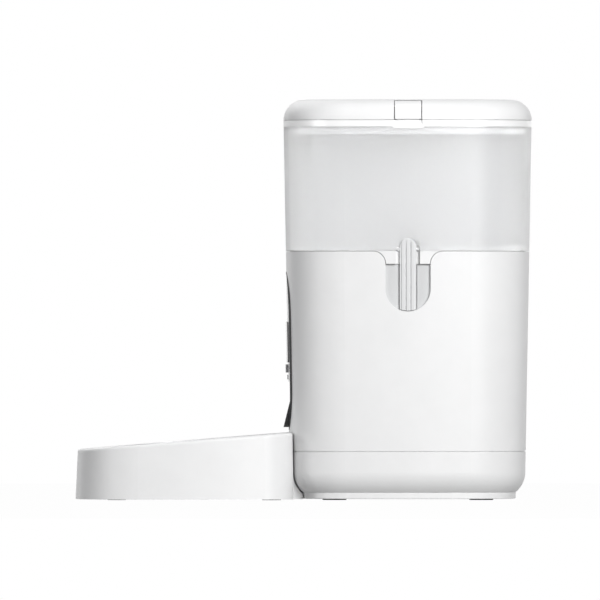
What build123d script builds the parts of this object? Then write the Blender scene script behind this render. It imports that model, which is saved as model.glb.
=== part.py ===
from build123d import *
from math import acos, cos, pi, radians, sin, sqrt, tan
import os

os.makedirs("parts", exist_ok=True)

# Overall sizes. The origin is on the floor under the middle of the whole feeder.
# The bowl is at the front, towards -Y, and the tower stands at the back.
overall_length = 342.6
tower_depth = 186.4
tower_width = 172.0
front_bulge = 260.0
side_bulge = 330.0
corner_radius = 50.0
draft_angle = 1.03

# Heights of the stacked parts of the tower, from the floor up
foot_gap = 0.9
plate_height = 4.8
tray_height = 31.0
shell_height = 149.5
tank_height = 93.4
collar_height = 4.8
lid_height = 15.6

# Walls
shell_wall = 2.5
tray_wall = 2.4
tank_wall = 2.2
lid_wall = 2.4
thin_wall = 1.6

# Clearances: between fixed pieces, round a turning shaft, between moving pieces, and the seams
fit_gap = 0.2
running_gap = 0.05
moving_gap = 0.5
seam_gap = 0.4
lid_gap = 0.3

# Screws
screw_radius = 1.4
screw_head_radius = 2.8
screw_head_height = 1.6
screw_slot_length = 3.4
screw_slot_width = 0.7
screw_slot_depth = 0.8
boss_radius = 4.2

plate_bottom = foot_gap
plate_top = plate_bottom + plate_height
tray_top = plate_top + tray_height
shell_top = tray_top + shell_height
tank_bottom = shell_top + seam_gap
tank_top = shell_top + tank_height
rim_top = tank_top + collar_height
lid_bottom = rim_top + lid_gap
lid_top = rim_top + lid_height
tower_y = overall_length / 2 - tower_depth / 2
tower_front = tower_y - tower_depth / 2
tower_rear = tower_y + tower_depth / 2
screw_hole_radius = screw_radius + running_gap
head_sink = screw_head_height + fit_gap
reach = tower_width


def draft_inset(height):
    """How far the drafted wall stands in from the rim's outline at a height."""
    return (rim_top - height) * tan(radians(draft_angle))


def outline(height, inset):
    """The tower's rounded-square plan at a height, drawn in all round by inset."""
    with BuildSketch(Plane.XY.offset(height)) as plan:
        with Locations((0, tower_front + front_bulge)):
            Circle(front_bulge - inset)
        with Locations((0, tower_rear - front_bulge)):
            Circle(front_bulge - inset, mode=Mode.INTERSECT)
        with Locations((side_bulge - tower_width / 2, tower_y)):
            Circle(side_bulge - inset, mode=Mode.INTERSECT)
        with Locations((tower_width / 2 - side_bulge, tower_y)):
            Circle(side_bulge - inset, mode=Mode.INTERSECT)
        fillet(plan.vertices(), radius=corner_radius - inset)
    return plan.sketch


def sloped(low, high, low_inset, high_inset, mode=Mode.ADD):
    """A block whose skin runs from one inset at its foot to another at its head."""
    foot = outline(low, low_inset + draft_inset(low))
    head = outline(high, high_inset + draft_inset(high))
    loft([foot, head], ruled=True, mode=mode)


def tapered(low, high, inset, mode=Mode.ADD):
    """A block between two heights that follows the tower's drafted skin, drawn in by inset."""
    sloped(low, high, inset, inset, mode)


def upright(low, high, inset, mode=Mode.ADD):
    """A block with upright walls, drawn in by inset from the rim's outline."""
    extrude(outline(low, inset), amount=high - low, mode=mode)


def side_plane(side, distance):
    """Upright plane beside the tower: local x along the side, local y up, facing outwards."""
    return Plane(origin=(side * distance, tower_y, 0), x_dir=(0, side, 0), z_dir=(side, 0, 0))


def front_plane(y):
    """Upright plane across the feeder at y: local x to the right, local y up, facing the bowl."""
    return Plane(origin=(0, y, 0), x_dir=(1, 0, 0), z_dir=(0, -1, 0))


def rods(plane, points, radius, amount, mode=Mode.ADD):
    """Round bars or holes of one radius, standing on a plane."""
    with BuildSketch(plane) as rounds:
        with Locations(*points):
            Circle(radius)
    extrude(rounds.sketch, amount=amount, mode=mode)


def block(low_corner, high_corner, mode=Mode.ADD):
    """A plain block between two corners."""
    size = [high - low for low, high in zip(low_corner, high_corner)]
    with Locations(tuple((low + high) / 2 for low, high in zip(low_corner, high_corner))):
        Box(*size, mode=mode)


def fasten(seat, points, length):
    """Screws whose heads stand on the seat plane and whose shanks run back through it."""
    rods(seat, points, screw_head_radius, screw_head_height)
    with BuildSketch(seat.offset(screw_head_height)) as slots:
        with Locations(*points):
            Rectangle(screw_slot_length, screw_slot_width)
            Rectangle(screw_slot_width, screw_slot_length)
    extrude(slots.sketch, amount=-screw_slot_depth, mode=Mode.SUBTRACT)
    rods(seat, points, screw_radius, -length)


def four_points(x, y):
    """The four points of a rectangle about the tower's axis, seen from above."""
    return [(side * x, tower_y + end * y) for side in (-1, 1) for end in (-1, 1)]


# Base plate: the bright skirt under the tray, with the feet, the screws and the battery hatch.
tray_curve = 20.0
plate_floor = 2.0
plate_edge_wall = 2.4
plate_edge_round = 0.5
foot_radius = 9.0
foot_x = 47.0
foot_y = 55.0
foot_sink = 1.0
foot_chamfer = 0.3
base_boss_x = 66.0
base_boss_y = 32.0
base_boss_height = 18.0
base_screw_length = 14.0
cell_bay_width = 34.2
cell_bay_length = 62.0
cell_bay_height = 35.0
cable_notch_radius = 4.0
plate_inset = draft_inset(plate_top) + tray_curve - sqrt(tray_curve**2 - (tray_curve - plate_height) ** 2)
floor_top = plate_bottom + plate_floor
hatch_width = 3 * cell_bay_width + 2 * thin_wall
base_boss_points = four_points(base_boss_x, base_boss_y)
foot_points = four_points(foot_x, foot_y)
under_plate = Plane.XY.offset(plate_bottom)

with BuildPart() as base_plate:
    upright(plate_bottom, plate_top, plate_inset)
    fillet(base_plate.faces().sort_by(Axis.Z)[0].edges(), radius=plate_edge_round)
    upright(floor_top, plate_top, plate_inset + plate_edge_wall, mode=Mode.SUBTRACT)
    rods(Plane.XY.offset(plate_top), base_boss_points, boss_radius, floor_top - plate_top)
    rods(under_plate, base_boss_points, screw_head_radius + fit_gap, head_sink, mode=Mode.SUBTRACT)
    rods(under_plate, base_boss_points, screw_hole_radius, plate_height, mode=Mode.SUBTRACT)
    rods(under_plate, foot_points, foot_radius + fit_gap, foot_sink, mode=Mode.SUBTRACT)
    with BuildSketch(under_plate) as hatch_hole:
        with Locations((0, tower_y)):
            Rectangle(hatch_width, cell_bay_length)
    extrude(hatch_hole.sketch, amount=plate_height, mode=Mode.SUBTRACT)
    rods(under_plate, [(0, tower_rear - plate_inset)], cable_notch_radius, plate_height, mode=Mode.SUBTRACT)
base_plate.part.label = "base_plate"
export_step(base_plate.part, "parts/base_plate.step")

# Feet: four rubber pads sunk in the base plate.
for number, point in enumerate(foot_points, start=1):
    with BuildPart() as foot:
        rods(Plane.XY, [point], foot_radius, plate_bottom + foot_sink)
        chamfer(foot.faces().sort_by(Axis.Z)[0].edges(), length=foot_chamfer)
    foot.part.label = f"foot_{number}"
    export_step(foot.part, f"parts/foot_{number}.step")

# Screws of the base, up through the plate into the tray's bosses.
with BuildPart() as base_screws:
    seat = Plane(origin=(0, 0, plate_bottom + head_sink), x_dir=(1, 0, 0), z_dir=(0, 0, -1))
    fasten(seat, [(x, -y) for x, y in base_boss_points], base_screw_length)
base_screws.part.label = "base_screws"
export_step(base_screws.part, "parts/base_screws.step")

# Base tray: the lower casing, its foot rolled in under the tower in one large curve.
tray_lip_height = 4.0
tray_lip_wall = 1.6
tray_lip_root = 4.0
seam_groove_height = 0.7
seam_groove_depth = 1.1
socket_height = 24.0
socket_radius = 5.6
rib_thickness = 2.0
rib_top = 27.0
rib_bottom = 12.0
lip_inset = shell_wall + fit_gap
lip_top_height = tray_top + tray_lip_height

with BuildPart() as tray_solid:
    tapered(plate_bottom, tray_top, 0)
    fillet(tray_solid.faces().sort_by(Axis.Z)[0].edges(), radius=tray_curve)

with BuildPart() as tray_hollow:
    tapered(plate_bottom + tray_wall, tray_top, tray_wall)
    fillet(tray_hollow.faces().sort_by(Axis.Z)[0].edges(), radius=tray_curve - tray_wall)
    # Screw bosses and their ribs stay solid
    rods(Plane.XY.offset(plate_top), base_boss_points, boss_radius, base_boss_height, mode=Mode.SUBTRACT)
    for x, y in base_boss_points:
        outer_x = x + tower_width / 4 if x > 0 else x - tower_width / 4
        low = (min(x, outer_x), y - rib_thickness / 2, rib_bottom)
        high = (max(x, outer_x), y + rib_thickness / 2, rib_top)
        block(low, high, mode=Mode.SUBTRACT)

with BuildPart() as tray_groove:
    tapered(tray_top - seam_groove_height, tray_top, -tray_wall)
    tapered(tray_top - seam_groove_height, tray_top, seam_groove_depth, mode=Mode.SUBTRACT)

with BuildPart() as tray_lip:
    tapered(tray_top - tray_lip_root, lip_top_height, lip_inset)
    tapered(tray_top - tray_lip_root, tray_top, tray_wall / 2)
    tapered(tray_top - tray_lip_root, lip_top_height, lip_inset + tray_lip_wall, mode=Mode.SUBTRACT)

with BuildPart() as base_tray:
    add(tray_solid.part)
    add(tray_hollow.part, mode=Mode.SUBTRACT)
    split(bisect_by=Plane.XY.offset(plate_top), keep=Keep.TOP)
    add(tray_groove.part, mode=Mode.SUBTRACT)
    add(tray_lip.part)
    rods(
        Plane.XY.offset(plate_top),
        base_boss_points,
        screw_hole_radius,
        base_screw_length,
        mode=Mode.SUBTRACT,
    )
    rods(
        front_plane(tower_rear),
        [(0, socket_height)],
        socket_radius + fit_gap,
        tower_depth / 4,
        mode=Mode.SUBTRACT,
    )
base_tray.part.label = "base_tray"
export_step(base_tray.part, "parts/base_tray.step")

# Battery box: three bays for large round cells, standing on the base plate over the hatch.
cell_rail_gap = 6.0
hatch_boss_radius = 3.6
hatch_boss_height = 9.0
hatch_pad_height = 2.0
hatch_screw_length = 8.0
hatch_screw_y = 23.0
contact_width = 12.0
contact_height = 16.0
contact_thickness = 0.5
bay_pitch = cell_bay_width + thin_wall
bay_top = floor_top + cell_bay_height
hatch_screw_points = [(side * bay_pitch / 2, tower_y + hatch_screw_y) for side in (-1, 1)]
bay_half_length = cell_bay_length / 2

with BuildPart() as battery_box:
    block(
        (-hatch_width / 2 - thin_wall, tower_y - bay_half_length - thin_wall, floor_top),
        (hatch_width / 2 + thin_wall, tower_y + bay_half_length + thin_wall, bay_top + thin_wall),
    )
    block(
        (-hatch_width / 2, tower_y - bay_half_length, floor_top),
        (hatch_width / 2, tower_y + bay_half_length, bay_top),
        mode=Mode.SUBTRACT,
    )
    for side in (-1, 1):
        block(
            (side * bay_pitch / 2 - thin_wall / 2, tower_y - bay_half_length, floor_top + cell_rail_gap),
            (side * bay_pitch / 2 + thin_wall / 2, tower_y + bay_half_length, bay_top),
        )
    boss_seat = Plane.XY.offset(floor_top + hatch_pad_height)
    rods(boss_seat, hatch_screw_points, hatch_boss_radius, hatch_boss_height)
    rods(boss_seat, hatch_screw_points, screw_hole_radius, hatch_boss_height - thin_wall, mode=Mode.SUBTRACT)
battery_box.part.label = "battery_box"
export_step(battery_box.part, "parts/battery_box.step")

# Contacts: one spring plate at each end of each bay.
with BuildPart() as battery_contacts:
    for bay in (-1, 0, 1):
        for end in (-1, 1):
            wall_y = tower_y + end * bay_half_length
            inner_y = wall_y - end * contact_thickness
            middle = (floor_top + bay_top) / 2
            low = (bay * bay_pitch - contact_width / 2, min(wall_y, inner_y), middle - contact_height / 2)
            high = (bay * bay_pitch + contact_width / 2, max(wall_y, inner_y), middle + contact_height / 2)
            block(low, high)
battery_contacts.part.label = "battery_contacts"
export_step(battery_contacts.part, "parts/battery_contacts.step")

# Battery cover: a flush hatch in the base plate, held by two screws.
hatch_gap = 0.3

with BuildPart() as battery_cover:
    block(
        (-hatch_width / 2 + hatch_gap, tower_y - bay_half_length + hatch_gap, plate_bottom),
        (hatch_width / 2 - hatch_gap, tower_y + bay_half_length - hatch_gap, floor_top),
    )
    rods(Plane.XY.offset(floor_top), hatch_screw_points, boss_radius, hatch_pad_height - fit_gap)
    rods(under_plate, hatch_screw_points, screw_head_radius + fit_gap, head_sink, mode=Mode.SUBTRACT)
    rods(under_plate, hatch_screw_points, screw_hole_radius, plate_height, mode=Mode.SUBTRACT)
battery_cover.part.label = "battery_cover"
export_step(battery_cover.part, "parts/battery_cover.step")

with BuildPart() as battery_screws:
    seat = Plane(origin=(0, 0, plate_bottom + head_sink), x_dir=(1, 0, 0), z_dir=(0, 0, -1))
    fasten(seat, [(x, -y) for x, y in hatch_screw_points], hatch_screw_length)
battery_screws.part.label = "battery_screws"
export_step(battery_screws.part, "parts/battery_screws.step")

# Power socket in the tray's rear wall: a round flange, a bore for the plug and its centre pin.
socket_bore_radius = 2.8
socket_bore_depth = 9.5
socket_pin_radius = 1.0
socket_length = 13.0
socket_nut_radius = 7.0
socket_nut_length = 2.5
socket_nut_gap = 0.8
socket_face_y = tower_rear - draft_inset(socket_height) - fit_gap
socket_nut_y = socket_face_y - tray_wall - socket_nut_gap

with BuildPart() as power_socket:
    face = front_plane(socket_face_y)
    rods(face, [(0, socket_height)], socket_radius, socket_length)
    rods(front_plane(socket_nut_y), [(0, socket_height)], socket_nut_radius, socket_nut_length)
    rods(face, [(0, socket_height)], socket_bore_radius, socket_bore_depth, mode=Mode.SUBTRACT)
    rods(face, [(0, socket_height)], socket_pin_radius, socket_length)
power_socket.part.label = "power_socket"
export_step(power_socket.part, "parts/power_socket.step")

# Layout of the drive: the deck carries the tank and, under it, the gears and the motor.
deck_top = 113.6
deck_thickness = 3.0
deck_boss_inset = 24.0
deck_boss_height = 26.0
deck_screw_length = 12.0
drum_radius = 60.0
drum_top = 150.0
drum_floor_thickness = 2.0
deck_ring_height = 6.0
outlet_radius = 55.0
outlet_half_angle = 28.0
outlet_back = 31.6
gear_module = 1.0
gear_teeth = 48
pinion_teeth = 16
gear_width = 8.0
gear_room = 1.0
gearbox_wall = 1.5
gearbox_floor = 2.0
gearbox_depth = 16.0
ear_radius = 4.5
ear_thickness = 3.0
shaft_radius = 4.0
bearing_radius = 7.0
bearing_flange_radius = 9.0
bearing_flange = 2.0
deck_bottom = deck_top - deck_thickness
gearbox_bottom = deck_bottom - gearbox_depth
gear_low = gearbox_bottom + gearbox_floor + gear_room
gear_pitch_radius = gear_module * gear_teeth / 2
pinion_pitch_radius = gear_module * pinion_teeth / 2
pinion_y = tower_y + gear_pitch_radius + pinion_pitch_radius
deck_boss_points = four_points(tower_width / 2 - deck_boss_inset, tower_depth / 2 - deck_boss_inset)
gearbox_radius = gear_pitch_radius + gear_module + gear_room + gearbox_wall
motor_end_radius = pinion_pitch_radius + gear_module + gear_room + gearbox_wall
ear_step = 3 * ear_radius / 4
ear_points = [(side * (gearbox_radius + ear_step), tower_y) for side in (-1, 1)]
ear_offset = (motor_end_radius + ear_step) / sqrt(2)
ear_points += [(side * ear_offset, pinion_y + ear_offset) for side in (-1, 1)]


def outlet_shape(height, grow):
    """The outlet in the drum's floor: a sector at the front, cut straight at the back."""
    far = 2 * outlet_radius
    near_y = tower_y - outlet_back + grow
    slant = tan(radians(outlet_half_angle))
    near_x = outlet_back * slant + grow
    far_x = (outlet_back + far) * slant + grow
    with BuildSketch(Plane.XY.offset(height)) as outlet:
        with BuildLine():
            Polyline(
                (-near_x, near_y),
                (near_x, near_y),
                (far_x, near_y - far),
                (-far_x, near_y - far),
                close=True,
            )
        make_face()
        with Locations((0, tower_y)):
            Circle(outlet_radius + grow, mode=Mode.INTERSECT)
    return outlet.sketch


# Front layout: the arched frame, the cover in it and the chute's mouth under the cover
arch_half_width = 38.5
arch_corner = 32.0
arch_top = 171.2
arch_bottom = 52.2
frame_width = 2.0
frame_proud = 0.2
frame_depth = 3.6
panel_bulge = 500.0
cover_bottom = 88.5
cover_thickness = 2.3
cover_gap = 0.15
front_reach = 40.0
board_front_y = -4.3
front_back_y = tower_front + front_reach / 2


def arch_shape(grow, low=0.0):
    """The long round-ended arch on the tower's front, grown all round, cut off below a height."""
    top = arch_top + grow
    width = 2 * (arch_half_width + grow)
    with BuildSketch(front_plane(front_back_y)) as arch:
        with Locations((0, (arch_bottom + arch_top) / 2)):
            RectangleRounded(width, top - arch_bottom + grow, arch_corner + grow)
        with Locations((0, (low + top) / 2)):
            Rectangle(width, top - low, mode=Mode.INTERSECT)
    return arch.sketch


def panel_plan(height, inset):
    """The front panel's curve at a height, flatter than the shell's, drawn in by inset."""
    with BuildSketch(Plane.XY.offset(height)) as plan:
        with Locations((0, tower_front + draft_inset(height) + inset + panel_bulge)):
            Circle(panel_bulge)
    return plan.sketch


def panel(low, high, inset, mode=Mode.ADD):
    """A block between two heights behind the front panel's leaning, slightly bulged face."""
    loft([panel_plan(low, inset), panel_plan(high, inset)], ruled=True, mode=mode)


# Side layout: the finger recess in the shell with the release tongue's channel in its floor, and
# the tank's key in its mouth
recess_half_width = 16.9
recess_bottom = 141.3
recess_flare = 9.3
recess_depth = 3.4
channel_depth = 5.8
channel_gap = 0.6
tongue_half_width = 6.25
key_bottom = 176.8
recess_wall_x = tower_width / 2 - draft_inset((recess_bottom + shell_top) / 2)
recess_floor_x = recess_wall_x - recess_depth
channel_floor_x = recess_wall_x - channel_depth


def recess_shape(side, distance, grow, low, high):
    """The U-shaped recess with flared mouth corners, seen from the side, between two heights."""
    half_width = recess_half_width + grow
    centre = recess_bottom + recess_half_width
    flare_centre = shell_top - recess_flare
    edge = recess_half_width + recess_flare
    with BuildSketch(side_plane(side, distance)) as recess:
        with Locations((0, centre)):
            Circle(half_width)
        with Locations((0, (centre + tank_bottom) / 2)):
            Rectangle(2 * half_width, tank_bottom - centre)
        with Locations((0, (flare_centre + tank_bottom) / 2)):
            Rectangle(2 * edge, tank_bottom - flare_centre)
        with Locations((-edge, flare_centre), (edge, flare_centre)):
            Circle(recess_flare - grow, mode=Mode.SUBTRACT)
        with Locations((0, (low + high) / 2)):
            Rectangle(2 * edge, high - low, mode=Mode.INTERSECT)
    return recess.sketch


def channel_shape(side, distance, grow, high):
    """The upright channel behind the tongue, seen from the side, its foot on the recess's foot."""
    centre = recess_bottom + recess_half_width
    with BuildSketch(side_plane(side, distance)) as channel:
        with Locations((0, centre)):
            Circle(recess_half_width + grow)
        with Locations((0, (centre + high) / 2)):
            Rectangle(2 * recess_half_width, high - centre)
        with Locations((0, (tray_top + high) / 2)):
            width = 2 * (tongue_half_width + channel_gap + grow)
            Rectangle(width, high - tray_top, mode=Mode.INTERSECT)
    return channel.sketch


# Main board: upright on posts at the shell's rear wall.
board_thickness = 1.6
main_board_y = tower_rear - 22.0
main_board_half_width = 34.0
main_board_low = 52.0
main_board_high = 96.0
board_post_radius = 3.0
board_post_margin = 5.0
board_screw_length = 8.0
main_post_points = [
    (side * (main_board_half_width - board_post_margin), z)
    for side in (-1, 1)
    for z in (main_board_low + board_post_margin, main_board_high - board_post_margin)
]

# Tower shell: the outer casing with the finger recesses and the front opening.
with BuildPart() as shell_hollow:
    tapered(tray_top, shell_top, shell_wall)
    # Tubs of the finger recesses, deck bosses and board posts stay solid
    for side in (-1, 1):
        tub = recess_shape(side, recess_floor_x - thin_wall, thin_wall, tray_top, key_bottom - seam_gap)
        extrude(tub, amount=reach, mode=Mode.SUBTRACT)
        trough = channel_shape(side, channel_floor_x - thin_wall, thin_wall, key_bottom - seam_gap)
        extrude(trough, amount=reach, mode=Mode.SUBTRACT)
    rods(Plane.XY.offset(deck_bottom), deck_boss_points, boss_radius, -deck_boss_height, mode=Mode.SUBTRACT)
    post_length = tower_rear - main_board_y
    rods(front_plane(tower_rear), main_post_points, board_post_radius, post_length, mode=Mode.SUBTRACT)

with BuildPart() as tower_shell:
    tapered(tray_top, shell_top, 0)
    add(shell_hollow.part, mode=Mode.SUBTRACT)
    for side in (-1, 1):
        recess = recess_shape(side, recess_floor_x, 0, tray_top, tank_bottom)
        extrude(recess, amount=reach, mode=Mode.SUBTRACT)
        channel = channel_shape(side, channel_floor_x, 0, tank_bottom)
        extrude(channel, amount=reach, mode=Mode.SUBTRACT)
    extrude(arch_shape(cover_gap), amount=front_reach, mode=Mode.SUBTRACT)
    boss_face = Plane.XY.offset(deck_bottom)
    rods(boss_face, deck_boss_points, screw_hole_radius, -deck_screw_length, mode=Mode.SUBTRACT)
    post_face = front_plane(main_board_y)
    rods(post_face, main_post_points, screw_hole_radius, -board_screw_length, mode=Mode.SUBTRACT)
tower_shell.part.label = "tower_shell"
export_step(tower_shell.part, "parts/tower_shell.step")

# Main board with its chips, and the radio module soldered on it.
main_chips = [(-18.0, 80.0, 14.0, 14.0, 2.0), (12.0, 62.0, 20.0, 8.0, 4.0), (-16.0, 60.0, 10.0, 10.0, 6.0)]
radio_x = 14.0
radio_z = 82.0
radio_width = 18.0
radio_height = 14.0
radio_thickness = 2.8

with BuildPart() as main_board:
    block(
        (-main_board_half_width, main_board_y - board_thickness, main_board_low),
        (main_board_half_width, main_board_y, main_board_high),
    )
    for x, z, width, height, thickness in main_chips:
        block(
            (x - width / 2, main_board_y - board_thickness - thickness, z - height / 2),
            (x + width / 2, main_board_y - board_thickness, z + height / 2),
        )
    rods(front_plane(main_board_y), main_post_points, screw_hole_radius, board_thickness, mode=Mode.SUBTRACT)
main_board.part.label = "main_board"
export_step(main_board.part, "parts/main_board.step")

with BuildPart() as radio_module:
    board_face_y = main_board_y - board_thickness
    block(
        (radio_x - radio_width / 2, board_face_y - radio_thickness, radio_z - radio_height / 2),
        (radio_x + radio_width / 2, board_face_y, radio_z + radio_height / 2),
    )
radio_module.part.label = "radio_module"
export_step(radio_module.part, "parts/radio_module.step")

with BuildPart() as board_screws:
    fasten(front_plane(main_board_y - board_thickness), main_post_points, board_screw_length)
board_screws.part.label = "board_screws"
export_step(board_screws.part, "parts/board_screws.step")

# Deck: the bulkhead that carries the tank's drum in a low ring.
with BuildPart() as deck:
    tapered(deck_bottom, deck_top, shell_wall + fit_gap)
    drum_centre = [(0, tower_y)]
    ring_radius = drum_radius + moving_gap
    rods(Plane.XY.offset(deck_top), drum_centre, ring_radius + tank_wall, deck_ring_height)
    rods(Plane.XY.offset(deck_top), drum_centre, ring_radius, deck_ring_height, mode=Mode.SUBTRACT)
    extrude(outlet_shape(deck_bottom, fit_gap), amount=deck_thickness, mode=Mode.SUBTRACT)
    deck_under = Plane.XY.offset(deck_bottom)
    rods(deck_under, drum_centre, bearing_radius + running_gap, deck_thickness, mode=Mode.SUBTRACT)
    rods(deck_under, deck_boss_points, screw_hole_radius, deck_thickness, mode=Mode.SUBTRACT)
    rods(deck_under, ear_points, screw_hole_radius, deck_thickness, mode=Mode.SUBTRACT)
    # Notch behind the front cover for the control board
    block(
        (-arch_half_width - moving_gap, tower_front, deck_bottom),
        (arch_half_width + moving_gap, board_front_y + board_thickness + moving_gap, deck_top),
        mode=Mode.SUBTRACT,
    )
deck.part.label = "deck"
export_step(deck.part, "parts/deck.step")

with BuildPart() as deck_screws:
    fasten(Plane.XY.offset(deck_top), deck_boss_points, deck_screw_length)
deck_screws.part.label = "deck_screws"
export_step(deck_screws.part, "parts/deck_screws.step")

# Bearing bush in the deck for the drive shaft, flanged underneath.
with BuildPart() as drive_bearing:
    rods(Plane.XY.offset(deck_top), [(0, tower_y)], bearing_radius, -deck_thickness)
    rods(Plane.XY.offset(deck_bottom), [(0, tower_y)], bearing_flange_radius, -bearing_flange)
    rods(Plane.XY.offset(deck_top), [(0, tower_y)], shaft_radius + running_gap, -deck_top, mode=Mode.SUBTRACT)
drive_bearing.part.label = "drive_bearing"
export_step(drive_bearing.part, "parts/drive_bearing.step")

# Gearbox cover under the deck: a pan round both gears, with ears for its screws.
journal_radius = 3.0
pinion_shaft_radius = 2.0
motor_hole_radius = 3.6


def gear_pan(height, grow):
    """The pan's plan: one circle round each gear, joined by straight sides."""
    with BuildSketch(Plane.XY.offset(height)) as pan:
        with Locations((0, tower_y)):
            Circle(gearbox_radius + grow)
        with Locations((0, pinion_y)):
            Circle(motor_end_radius + grow)
        make_hull()
    return pan.sketch


with BuildPart() as gearbox_cover:
    extrude(gear_pan(gearbox_bottom, 0), amount=gearbox_depth)
    rods(Plane.XY.offset(deck_bottom), ear_points, ear_radius, -ear_thickness)
    pan_room = gear_pan(gearbox_bottom + gearbox_floor, -gearbox_wall)
    extrude(pan_room, amount=gearbox_depth, mode=Mode.SUBTRACT)
    pan_under = Plane.XY.offset(gearbox_bottom)
    rods(pan_under, [(0, tower_y)], journal_radius + running_gap, gearbox_floor, mode=Mode.SUBTRACT)
    rods(pan_under, [(0, pinion_y)], motor_hole_radius, gearbox_floor, mode=Mode.SUBTRACT)
    rods(Plane.XY.offset(deck_bottom), ear_points, screw_hole_radius, -ear_thickness, mode=Mode.SUBTRACT)
gearbox_cover.part.label = "gearbox_cover"
export_step(gearbox_cover.part, "parts/gearbox_cover.step")

with BuildPart() as gearbox_screws:
    seat = Plane(origin=(0, 0, deck_bottom - ear_thickness), x_dir=(1, 0, 0), z_dir=(0, 0, -1))
    fasten(seat, [(x, -y) for x, y in ear_points], ear_thickness + deck_thickness - fit_gap)
gearbox_screws.part.label = "gearbox_screws"
export_step(gearbox_screws.part, "parts/gearbox_screws.step")

# Gear motor under the pan: a round can with a reduction head.
motor_radius = 12.0
motor_head_length = 14.0
motor_length = 40.0
motor_neck_radius = 10.0
motor_neck_length = 2.0
motor_bore_depth = 8.0
motor_terminal = 1.5

with BuildPart() as gear_motor:
    motor_top = Plane.XY.offset(gearbox_bottom)
    rods(motor_top, [(0, pinion_y)], motor_radius, -motor_head_length)
    rods(motor_top.offset(-motor_head_length), [(0, pinion_y)], motor_neck_radius, -motor_neck_length)
    can_top = motor_top.offset(-motor_head_length - motor_neck_length)
    rods(can_top, [(0, pinion_y)], motor_radius, motor_head_length + motor_neck_length - motor_length)
    fillet(gear_motor.faces().sort_by(Axis.Z)[0].edges(), radius=motor_terminal)
    rods(motor_top, [(0, pinion_y)], pinion_shaft_radius + running_gap, -motor_bore_depth, mode=Mode.SUBTRACT)
gear_motor.part.label = "gear_motor"
export_step(gear_motor.part, "parts/gear_motor.step")

# Gears: involute teeth, with a little backlash so that they run free.
pressure_angle = 20.0
backlash = 0.15
root_factor = 1.25


def gear_sketch(height, centre_y, teeth, first_angle):
    """One spur gear's outline with a tooth centred on the first angle."""
    pitch = gear_module * teeth / 2
    base = pitch * cos(radians(pressure_angle))
    root = pitch - root_factor * gear_module
    tip = pitch + gear_module
    start = max(base, root)

    def half_angle(radius):
        """Half the angle that a tooth fills at a radius, in radians."""
        slope = acos(min(1, base / radius))
        pitch_slope = radians(pressure_angle)
        inward = tan(pitch_slope) - pitch_slope - tan(slope) + slope
        return pi / (2 * teeth) + inward - backlash / (2 * pitch)

    def flank_point(radius, side):
        """A point of one flank, with the tooth on the x axis."""
        angle = side * half_angle(radius)
        return (radius * cos(angle), radius * sin(angle))

    with BuildSketch() as tooth:
        with BuildLine():
            for side in (-1, 1):
                inner = root - gear_module / 4
                angle = side * half_angle(start)
                foot_point = (inner * cos(angle), inner * sin(angle))
                Line(foot_point, flank_point(start, side))
                middle = (start + tip) / 2
                ThreePointArc(flank_point(start, side), flank_point(middle, side), flank_point(tip, side))
            ThreePointArc(flank_point(tip, -1), (tip, 0), flank_point(tip, 1))
            angle = half_angle(start)
            Line((inner * cos(angle), -inner * sin(angle)), (inner * cos(angle), inner * sin(angle)))
        make_face()
    with BuildSketch(Plane.XY.offset(height)) as gear:
        with Locations((0, centre_y)):
            Circle(root)
            with PolarLocations(0, teeth, start_angle=first_angle):
                add(tooth.sketch)
    return gear.sketch


# Drive gear on its shaft, standing on the pan's floor.
hub_radius = 8.0
shaft_top = 133.0
spigot_radius = 6.8
spigot_top = 135.0
web_radius = 19.0
web_recess = 2.5

with BuildPart() as drive_gear:
    extrude(gear_sketch(gear_low, tower_y, gear_teeth, 90), amount=gear_width)
    axis_point = [(0, tower_y)]
    for face_height, inward in ((gear_low, web_recess), (gear_low + gear_width, -web_recess)):
        rods(Plane.XY.offset(face_height), axis_point, web_radius, inward, mode=Mode.SUBTRACT)
    hub_low = gearbox_bottom + gearbox_floor + lid_gap
    rods(Plane.XY.offset(hub_low), axis_point, hub_radius, gear_low + gear_width - hub_low)
    rods(Plane.XY.offset(gearbox_bottom), axis_point, journal_radius, gear_low - gearbox_bottom)
    rods(Plane.XY.offset(gear_low), axis_point, shaft_radius, shaft_top - gear_low)
drive_gear.part.label = "drive_gear"
export_step(drive_gear.part, "parts/drive_gear.step")

# Spigot: the hexagonal driver pushed on the shaft's top.
spigot_low = deck_top + lid_gap

with BuildPart() as drive_spigot:
    with BuildSketch(Plane.XY.offset(spigot_low)) as hexagon:
        with Locations((0, tower_y)):
            RegularPolygon(radius=spigot_radius, side_count=6)
            Circle(shaft_radius + running_gap, mode=Mode.SUBTRACT)
    extrude(hexagon.sketch, amount=shaft_top + running_gap - spigot_low)
    with BuildSketch(Plane.XY.offset(shaft_top + running_gap)) as spigot_cap:
        with Locations((0, tower_y)):
            RegularPolygon(radius=spigot_radius, side_count=6)
    extrude(spigot_cap.sketch, amount=spigot_top - shaft_top, taper=20)
drive_spigot.part.label = "drive_spigot"
export_step(drive_spigot.part, "parts/drive_spigot.step")

# Motor pinion, one tooth space facing the gear.
with BuildPart() as motor_pinion:
    first = 270 + 180 / pinion_teeth
    extrude(gear_sketch(gear_low, pinion_y, pinion_teeth, first), amount=gear_width)
    pinion_foot = gearbox_bottom - motor_bore_depth + lid_gap
    rods(Plane.XY.offset(pinion_foot), [(0, pinion_y)], pinion_shaft_radius, gear_low - pinion_foot)
motor_pinion.part.label = "motor_pinion"
export_step(motor_pinion.part, "parts/motor_pinion.step")

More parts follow.
